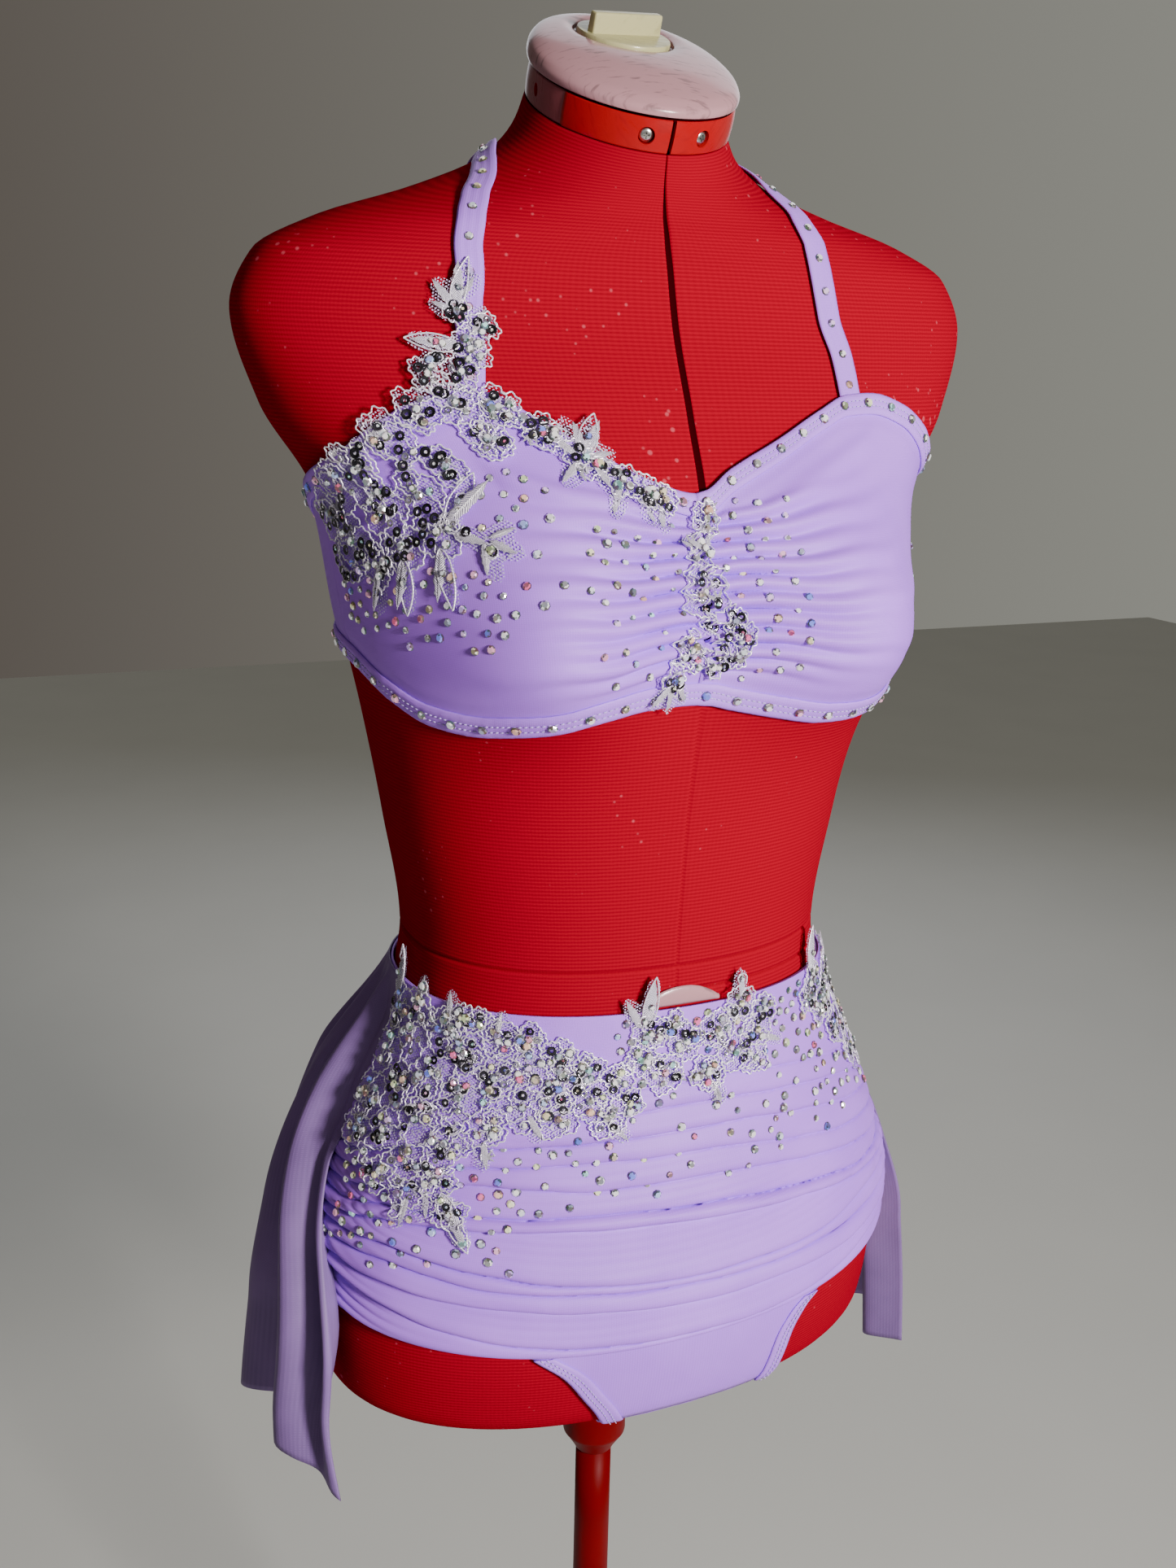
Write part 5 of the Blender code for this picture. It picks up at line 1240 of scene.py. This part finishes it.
# Many copies of a small shape, each at its own place.
def scatter(name, shape, places, material, flatFaces=False):
    turned, at = places
    small = newMesh(name + "One", shape)
    bm = bmesh.new()
    for _ in at:
        bm.from_mesh(small)
    made = finishPiece(name, bm, material, smooth=not flatFaces)
    corners = np.empty(len(small.vertices) * 3)
    small.vertices.foreach_get("co", corners)
    placed = np.einsum("nij,kj->nki", turned, corners.reshape(-1, 3)) + at[:, None, :]
    made.data.vertices.foreach_set("co", placed.astype(np.float32).ravel())
    made.data.update()
    bpy.data.meshes.remove(small)
    return made


# A cupped sequin 1 m across, to be scaled, with its hole and an upturned rim.
def cuppedSequin():
    return drawRings(roundRings(((0.18, 0.06), (0.30, 0.05), (0.46, 0.18), (0.50, 0.14))), 10, False, False)


# A flat-backed cut stone 1 m across: girdle, two rows of crown facets and the table.
def cutStone():
    return drawRings(roundRings(((0.50, 0.0), (0.50, 0.08), (0.41, 0.20), (0.27, 0.32))), 8, False)


# Half the width of a leaf along its length, as a share of its most.
def leafHalf(along):
    return np.sin(np.pi * along ** 0.8) ** 0.85


# A satin-stitched leaf 1 m long from its root along x: pointed at its tip, crowned, a vein down the middle.
def satinLeaf(half):
    along = np.linspace(0, 1, 11)
    width = (half * leafHalf(along) + 0.002) * (1 + 0.14 * np.cos(along * 10 * np.pi))
    across = np.array([-1.0, -0.45, 0.0, 0.45, 1.0])
    high = np.array([0.0, 1.0, 0.25, 1.0, 0.0])
    along, across, high = np.tile(along, (5, 1)), across[:, None], high[:, None]
    points = np.stack([along, across * width, high * width * 0.45], -1)
    return layGrid(points, np.stack([along * 0.020 + np.abs(across) * 0.0030, across * width * 0.02], -1))


# Turn, level and lift of a place on a lace.
def laceSpot(motifs, u, v, more):
    turn = np.interp(u, motifs["girth"], wrap)
    return turn, v, motifs["lift"](turn, v) + more


# Splits a line of points into the runs that show.
def shownRuns(points, hidden, closed):
    if not hidden.any():
        return [(points, closed)]
    count = len(points)
    first = int(np.argmax(hidden)) if closed else 0
    order = [(first + n) % count for n in range(count)] + ([first] if closed else [])
    runs, run = [], []
    for n in order:
        if hidden[n]:
            runs.append(run)
            run = []
        else:
            run.append(n)
    runs.append(run)
    return [(points[keep], False) for keep in runs if len(keep) > 2]


random = np.random.default_rng(7)
darkSequins, lightSequins, stoneSpots = [], [], []  # each: turn, level, lift, size in mm


# Puts a sequin or a stone on the lace.
def sparkle(motifs, u, v, dark=0.58, stone=0.28):
    turn, level, lift = laceSpot(motifs, float(u), float(v), 0.0012)
    if abs(turn) > 85.0:
        return
    if level < 0.3:
        dark, stone = dark * 0.6, stone * 1.6
    pick = random.random()
    if pick < stone:
        stoneSpots.append((turn, level, lift + 0.0003, random.uniform(3.8, 5.6)))
    elif pick < stone + dark:
        darkSequins.append((turn, level, lift, random.uniform(4.6, 5.6)))
        if random.random() < 0.5:
            stoneSpots.append((turn, level, lift + 0.0002, 1.8))
    else:
        lightSequins.append((turn, level, lift, random.uniform(3.2, 4.2)))


# Runs of a braid laid at places on a lace: what lies under earlier petals or past the side seam isn't drawn.
def laceRuns(motifs, x, y, closed, petals=(), more=0.0):
    turn, level, lift = laceSpot(motifs, x, y, laceMake["braidLift"] + more)
    hidden = np.abs(turn) > briefs["side"] - 0.9
    for cx, cy, size, seed in petals:
        gx, gy = x - cx, y - cy
        hidden |= np.hypot(gx, gy) < outline(np.arctan2(gy, gx), size, seed) - 0.0003
    return shownRuns(above(turn, level, lift), hidden, closed)


for name, motifs in laces.items():
    ends = [(u, z, r * 0.001) for u, z, r, _ in motifs["flowers"]]
    ends += [(u, z, (r + half) * 0.001) for u, z, r, _, _, half in motifs["scrolls"]]
    for u, z, heading, length, half in motifs["leaves"]:
        way = math.radians(heading)
        ends.append((u + 0.001 * length * math.cos(way), z + 0.001 * length * math.sin(way), half * 0.001))
    margin, cell = 0.005, 0.0011
    us = np.arange(min(u - r for u, _, r in ends) - margin, max(u + r for u, _, r in ends) + margin, cell)
    vs = np.arange(min(z - r for _, z, r in ends) - margin, max(z + r for _, z, r in ends) + margin, cell)
    u, v = np.meshgrid(us, vs)
    turn, level, lift = laceSpot(motifs, u, v, 0.0003)
    field = np.minimum(laceField(u, v, motifs), (briefs["side"] - 0.9 - np.abs(turn)) * 0.0022)
    bm = layGrid(above(turn, level, lift), np.stack([u, v], -1))
    inside = bm.verts.layers.float.new("motif")
    bm.verts.ensure_lookup_table()
    for vertex, depth in zip(bm.verts, field.ravel()):
        vertex[inside] = depth
    outside = [face for face in bm.faces if max(vertex[inside] for vertex in face.verts) < -0.0016]
    bmesh.ops.delete(bm, geom=outside, context="FACES")
    net = finishPiece(name, bm, tulle, [motifs["node"]])
    area = sum(polygon.area for polygon in net.data.polygons)
    print(name, len(net.data.polygons), "faces")

    # Petals in two ruffled lines, each petal over the next.
    lines, drawn, seed = [], [], 0.0
    for u, z, r, petals in motifs["flowers"]:
        reach, seed = r * 0.001 * laceMake["grow"], seed + 1.37
        loops = []
        for n in range(petals):
            way = 2 * np.pi * n / petals + np.radians(u * 3000)
            size = reach * laceMake["petalSize"] * (1.0 if petals > 4 else 1.12)
            away = reach * laceMake["petalReach"]
            loops.append((u + away * np.cos(way), z + away * np.sin(way), size, seed + n))
        for n, (cx, cy, size, turned) in enumerate(loops):
            angle = np.linspace(0, 2 * np.pi, 41)[:-1]
            for inset in (0.0, laceMake["gap"])[:1 + (size > 0.0048 and random.random() < 0.30)]:
                radius = outline(angle, size, turned, inset)
                x, y = cx + radius * np.cos(angle), cy + radius * np.sin(angle)
                lines += laceRuns(motifs, x, y, True, drawn + loops[:n])
            if random.random() < 0.85:
                sparkle(motifs, cx, cy)
        drawn += loops
        stoneSpots.append((*laceSpot(motifs, u, z, 0.0016), 3.4 + 0.14 * r))
    # Scroll bands edged with braid, a row of sequins down the middle.
    for u, z, radius, start, end, half in motifs["scrolls"]:
        angle = np.radians(np.linspace(start, end, max(int(np.radians(end - start) * radius / 0.6), 6)))
        taper = ease(np.minimum(angle - angle[0], angle[-1] - angle) * radius / 3.0)
        for edge in (-1, 1):
            ruffles = angle * radius * 0.001 / laceMake["wobbleStep"]
            ruffle = laceMake["wobble"] * np.sin(ruffles * 6.28 + edge)
            away = radius * 0.001 + edge * (half * 0.001 * taper + ruffle)
            x, y = u + away * np.cos(angle), z + away * np.sin(angle)
            lines += laceRuns(motifs, x, y, False, drawn, 0.0003)
        for bead in np.arange(angle[0] + 2.5 / radius, angle[-1], laceMake["sequinStep"] * 1000 / radius):
            sparkle(motifs, u + radius * 0.001 * np.cos(bead), z + radius * 0.001 * np.sin(bead), 0.75, 0.15)
    # Long leaves outlined with rope stitch round a stone.
    for u, z, heading, length, half in motifs["leaves"]:
        if length < 22:
            continue
        way, along = math.radians(heading), np.linspace(0, 1, 26)
        for side in (-1, 1):
            away = side * (half + 0.6) * 0.001 * leafHalf(along)
            run = along * length * 0.00106
            x = u + run * math.cos(way) - away * math.sin(way)
            y = z + run * math.sin(way) + away * math.cos(way)
            lines += laceRuns(motifs, x, y, False, (), 0.0003)
        middle = 0.00045 * length
        spot = laceSpot(motifs, u + middle * math.cos(way), z + middle * math.sin(way), 0.0026)
        stoneSpots.append((*spot, 3.8))
    # Single curls of braid and buds of satin stitch between them.
    buds, inner = [], np.argwhere(field > 0.0016)
    for row, column in inner[random.permutation(len(inner))[:int(area / motifs["curlArea"])]]:
        angle = random.uniform(0, 6.28) + np.linspace(0, random.uniform(3.2, 5.0), 22)
        grow = random.uniform(*laceMake["curl"]) * (1 - 0.35 * np.linspace(0, 1, 22))
        grow = grow + 0.0002 * np.sin(angle * 7)
        x, y = us[column], vs[row]
        lines += laceRuns(motifs, x + grow * np.cos(angle), y + grow * np.sin(angle), False, (), 0.0004)
        if random.random() < 0.35:
            buds += [(x, y, np.degrees(angle[0]) + way, random.uniform(5, 7.5), 1) for way in (-38, 0, 38)]
        if random.random() < 0.7:
            sparkle(motifs, x, y, 0.5, 0.42)
    braids = layBraids(name + "Braid", lines, laceMake["braidHalf"], braid)
    u, z, heading, length, _ = np.array(motifs["leaves"] + buds, float).T
    places = standAt(*laceSpot(motifs, u, z, 0.0009), heading, length * 0.001)
    leaves = scatter(name + "Leaves", satinLeaf(0.120), places, satin)
for name, group, film in (("gunmetalSequins", darkSequins, gunmetal),
                          ("silverSequins", lightSequins, silverFilm)):
    t, z, lift, size = np.array(group, float).T
    places = standAt(t, z, lift, random.uniform(0, 360, len(t)), size * 0.001)
    scatter(name, cuppedSequin(), places, film)
print("lace made,", len(darkSequins) + len(lightSequins), "sequins")


# Level steps of equal length along an edge, and the way the edge heads there.
def alongEdge(turns, levels, step, start=0.0):
    length = lengths(bare(turns, levels))
    even = np.arange(start, length[-1] - 0.2 * step, step)
    turn, level = np.interp(even, length, turns), np.interp(even, length, levels)
    ahead = even + 0.001
    run = bare(np.interp(ahead, length, turns), np.interp(ahead, length, levels)) - bare(turn, level)
    left, rise, _ = axesAt(turn, level)
    return turn, level, np.degrees(np.arctan2((run * rise).sum(-1), (run * left).sum(-1)))


# Twin-needle stitches of the bands, bindings and straps: two rows of short threads, tapered into the cloth.
sewing = {
    "pitch": 0.0029, "length": 0.0021, "width": 0.00050, "rows": (0.36, 0.64),
    "stonePitch": 0.0175, "stone": 5.2, "strapPitch": 0.0172, "strapStone": 5.0,
}
turns = np.linspace(-179.5, 179.5, 900)
edges = [(turns, bandFoot(turns), top["band"], 0.0)]
for start, end in ((-179.5, top["centre"] - 0.6), (top["centre"] + 0.6, 179.5)):
    turns = np.linspace(start, end, 500)
    edges.append((turns, bindingFoot(turns), top["binding"], 0.0))
for _, _, way, line in briefs["legLines"]:
    level = np.linspace(line[0][0], line[-1][0], 60)
    edges.append((value(line, level), level, 0.0, way * briefs["legBinding"]))
stitches, trimStones = [], []
for turns, levels, width, sideways in edges:
    for share in sewing["rows"]:
        t, z, heading = alongEdge(turns + sideways * share, levels + width * share, sewing["pitch"])
        stitches.append((t, z, secondLayer + bridge(t, z) + 0.00150 + 0 * t, heading))
    if width:
        t, z, _ = alongEdge(turns, levels + width * 0.5, sewing["stonePitch"], 0.004)
        trimStones += [(a, b, secondLayer + float(bridge(a, b)) + 0.0017, sewing["stone"] + 0.3 * (k % 2))
                       for k, (a, b) in enumerate(zip(t, z))]
for side in ("right", "left"):
    turn, level, _ = walk(straps[side], 0.001)
    for share in sewing["rows"]:
        t, z = beside(turn, level, straps["width"] * (share - 0.5))
        t, z, heading = alongEdge(t, z, sewing["pitch"])
        stitches.append((t, z, firstLayer + 0.0013 + 0 * t, heading))
    t, z, _ = alongEdge(turn, level, sewing["strapPitch"], 0.010)
    trimStones += [(a, b, firstLayer + 0.0016, sewing["strapStone"]) for a, b in zip(t, z)]
bm = bmesh.new()
bmesh.ops.create_cube(bm, size=1.0)
bmesh.ops.scale(bm, vec=(sewing["length"], sewing["width"], 0.0004), verts=bm.verts)
bmesh.ops.scale(bm, vec=(0.55, 0.6, 1.0), verts=[vertex for vertex in bm.verts if vertex.co.z > 0])
t, z, lift, heading = (np.concatenate([row[n] for row in stitches]) for n in range(4))
scatter("twinStitches", bm, standAt(t, z, lift, heading, 1.0), thread)
print("stitches made,", len(t))

# Stones. The hues are those of foil-backed aurora glass.
stones = {
    "hues": ("f4f8ff", "e4eef8", "f8f0b8", "e0f4b4", "f4a4c8", "d0b0ff", "a0b4ff", "a8ecec", "f0b89c",
             "f8fafc", "8890a8", "f8fafc", "d0d8e8", "ff5a9c", "6474ff", "eef2fa", "f4f8ff", "d8c8a8",
             "f0f4ff", "ffffff", "f8fafc", "c8d0e0", "ffffff", "eef2fa", "9ca4b8", "ffffff"),
    "big": ((-40.5, 0.5402, 6.0), (-45.6, 0.4870, 6.0), (-60.8, 0.4922, 5.5), (-61.1, 0.5236, 5.0),
            (-0.6, 0.5088, 6.0), (-2.7, 0.4769, 6.4), (-18.1, 0.5098, 4.6), (-29.8, 0.5505, 5.0),
            (-28.4, 0.5310, 4.6), (-25.3, 0.4853, 4.6)),
    "fields": (
        # from and to turn, from and to level, how many, least and most size in mm, heap towards this turn
        (-80, -36, 0.452, 0.492, 44, 3.6, 5.0, -80), (-44, -8, 0.470, 0.536, 20, 4.0, 5.6, -30),
        (-20, -1, 0.432, 0.516, 26, 3.8, 5.0, -1), (-1, 13, 0.434, 0.524, 34, 3.8, 5.2, 0),
        (48, 82, 0.450, 0.500, 8, 3.8, 5.0, 82), (-80, -30, 0.098, 0.170, 54, 4.2, 6.0, -60),
        (-40, 24, 0.140, 0.205, 44, 4.0, 5.8, -20), (22, 80, 0.150, 0.238, 50, 4.2, 6.0, 60),
        (-14, 40, 0.205, 0.244, 30, 4.2, 6.0, 10),
    ),
    "apart": 0.0062,
}


def clothUnder(turn, level):
    if level < 0.30:
        return float(secondLayer + 0.0013 + ruching(turn, level) + fineFolds(turn, level))
    return float(firstLayer + bridge(turn, level) + gathers(turn, level) + clothWall)


placed = [(a, b) for a, b, *_ in stoneSpots + darkSequins + lightSequins]
for a, b, size in stones["big"]:
    stoneSpots.append((a, b, clothUnder(a, b) + 0.0002, size))
    placed.append((a, b))
for low, high, floorLevel, ceiling, count, least, most, heap in stones["fields"]:
    tries = 0
    while count and tries < 900:
        tries += 1
        a = random.uniform(low, high)
        b = floorLevel + (ceiling - floorLevel) * random.beta(1.6, 1.15)
        if random.random() < abs(a - heap) / (high - low) * 0.75:
            continue
        upper = value(top["upperEdge"], a) - top["binding"] - 0.002
        if b > upper or (0.3 < b < value(top["lowerEdge"], a) + top["band"] + 0.002):
            continue
        inLace = any(laceField(np.interp(a, wrap, motifs["girth"]), np.array(b), motifs) > -0.0016
                     for motifs in laces.values())
        near = min(np.hypot((a - c) * 0.0022, b - d) for c, d in placed) < stones["apart"]
        if inLace or near:
            continue
        stoneSpots.append((a, b, clothUnder(a, b) + 0.0001, random.uniform(least, most)))
        placed.append((a, b))
        count -= 1
t, z, lift, size = np.array(stoneSpots + trimStones, float).T
places = standAt(t, z, lift, random.uniform(0, 360, len(t)), size * 0.001)
glassStones = scatter("auroraStones", cutStone(), places, glass, flatFaces=True)
count = len(glassStones.data.polygons)
hues = np.array([colour(h) for h in stones["hues"]])
tints = hues[random.integers(0, len(hues), len(t))].repeat(count // len(t), axis=0)
# On each stone: eight girdle facets, eight low and eight high on the crown, the table. Each facet's tint is
# scaled by a painted brightness: the girdle painted dark as shade, the crown and the table painted bright or
# dark at random as painted reflections and glints.
face = np.arange(count) % (count // len(t))
crown = random.choice((0.03, 0.25, 0.9, 1.7), count, p=(0.26, 0.24, 0.28, 0.22))
lowCrown = random.choice((0.02, 0.12, 0.6), count, p=(0.50, 0.30, 0.20))
table = random.choice((0.25, 0.8, 1.3), count, p=(0.25, 0.25, 0.50))
shine = np.select([face < 8, face < 16, face < 24], [0.03, lowCrown, crown], table)
tints[:, :3] = tints[:, :3] * shine[:, None]
facets = glassStones.data.attributes.new("facets", "FLOAT_COLOR", "FACE")
facets.data.foreach_set("color", np.clip(tints, 0, 1).astype(np.float32).ravel())
print("stones made,", len(t))

# Floor, surroundings that are darker at the picture's left, lights and camera.
studio = {
    "floorHalf": 6.0, "worldRight": "e2e2d6", "worldLeft": "92887f", "worldStrength": 0.36,
    "key": {"at": (0.42, -1.59, 1.51), "energy": 59.0, "size": 0.36, "colour": "fff8f2"},
    "fill": {"at": (-2.0, -2.4, 1.2), "energy": 3.0, "size": 2.2, "colour": "eef2ff"},
    "behind": {"at": (1.2, 2.4, 2.7), "energy": 34.0, "size": 3.2, "colour": "f4f6ff"},
    # The camera's angles are in radians, and it looks at this level on the form, this far to the side.
    "lens": 34.54, "yaw": 0.396, "pitch": 0.272, "roll": 0.0221, "distance": 0.8866, "side": -0.0134,
    "level": 0.3485,
}
bm = bmesh.new()
bmesh.ops.create_grid(bm, x_segments=8, y_segments=8, size=studio["floorHalf"])
floor = newObject("floor", newMesh("floor", bm))
floor.data.materials.append(floorPaint)
yaw, pitch, roll = studio["yaw"], studio["pitch"], studio["roll"]
levelRight = Vector((math.cos(yaw), -math.sin(yaw), 0))
world = bpy.data.worlds.new("studio")
world.use_nodes = True
tree = world.node_tree
facing = addNode(tree, "TexCoord").outputs["Generated"]
across = addNode(tree, "VectorMath", {0: facing, 1: levelRight}, operation="DOT_PRODUCT").outputs["Value"]
share = addNode(tree, "MapRange", {"Value": across, "From Min": -0.4, "From Max": 0.4}).outputs[0]
mixed = addNode(tree, "Mix", {"Factor": share, "A": colour(studio["worldLeft"]),
                              "B": colour(studio["worldRight"])}, data_type="RGBA")
tree.links.new(mixed.outputs["Result"], tree.nodes["Background"].inputs["Color"])
tree.nodes["Background"].inputs["Strength"].default_value = studio["worldStrength"]
bpy.context.scene.world = world
for name in ("key", "fill", "behind"):
    lamp = bpy.data.lights.new(name, "AREA")
    lamp.shape = "DISK"
    lamp.energy = studio[name]["energy"]
    lamp.size = studio[name]["size"]
    lamp.color = colour(studio[name]["colour"])[:3]
    lit = newObject(name, lamp)
    lit.location = studio[name]["at"]
    aim = Vector((0, 0, 1.1)) - lit.location
    lit.rotation_euler = aim.to_track_quat("-Z", "Y").to_euler()

back = Vector((-math.sin(yaw) * math.cos(pitch), -math.cos(yaw) * math.cos(pitch), math.sin(pitch)))
levelUp = back.cross(levelRight)
right = math.cos(roll) * levelRight + math.sin(roll) * levelUp
up = math.cos(roll) * levelUp - math.sin(roll) * levelRight
cameraData = bpy.data.cameras.new("camera")
cameraData.lens = studio["lens"]
cameraData.sensor_fit = "VERTICAL"
cameraData.sensor_height = 36.0
camera = newObject("camera", cameraData)
aim = Vector((0, 0, body["rimHeight"] + studio["level"])) + levelRight * studio["side"]
place = Matrix.Translation(aim + back * studio["distance"])
camera.matrix_world = place @ Matrix((right, up, back)).transposed().to_4x4()
bpy.context.scene.camera = camera

print("scene made")
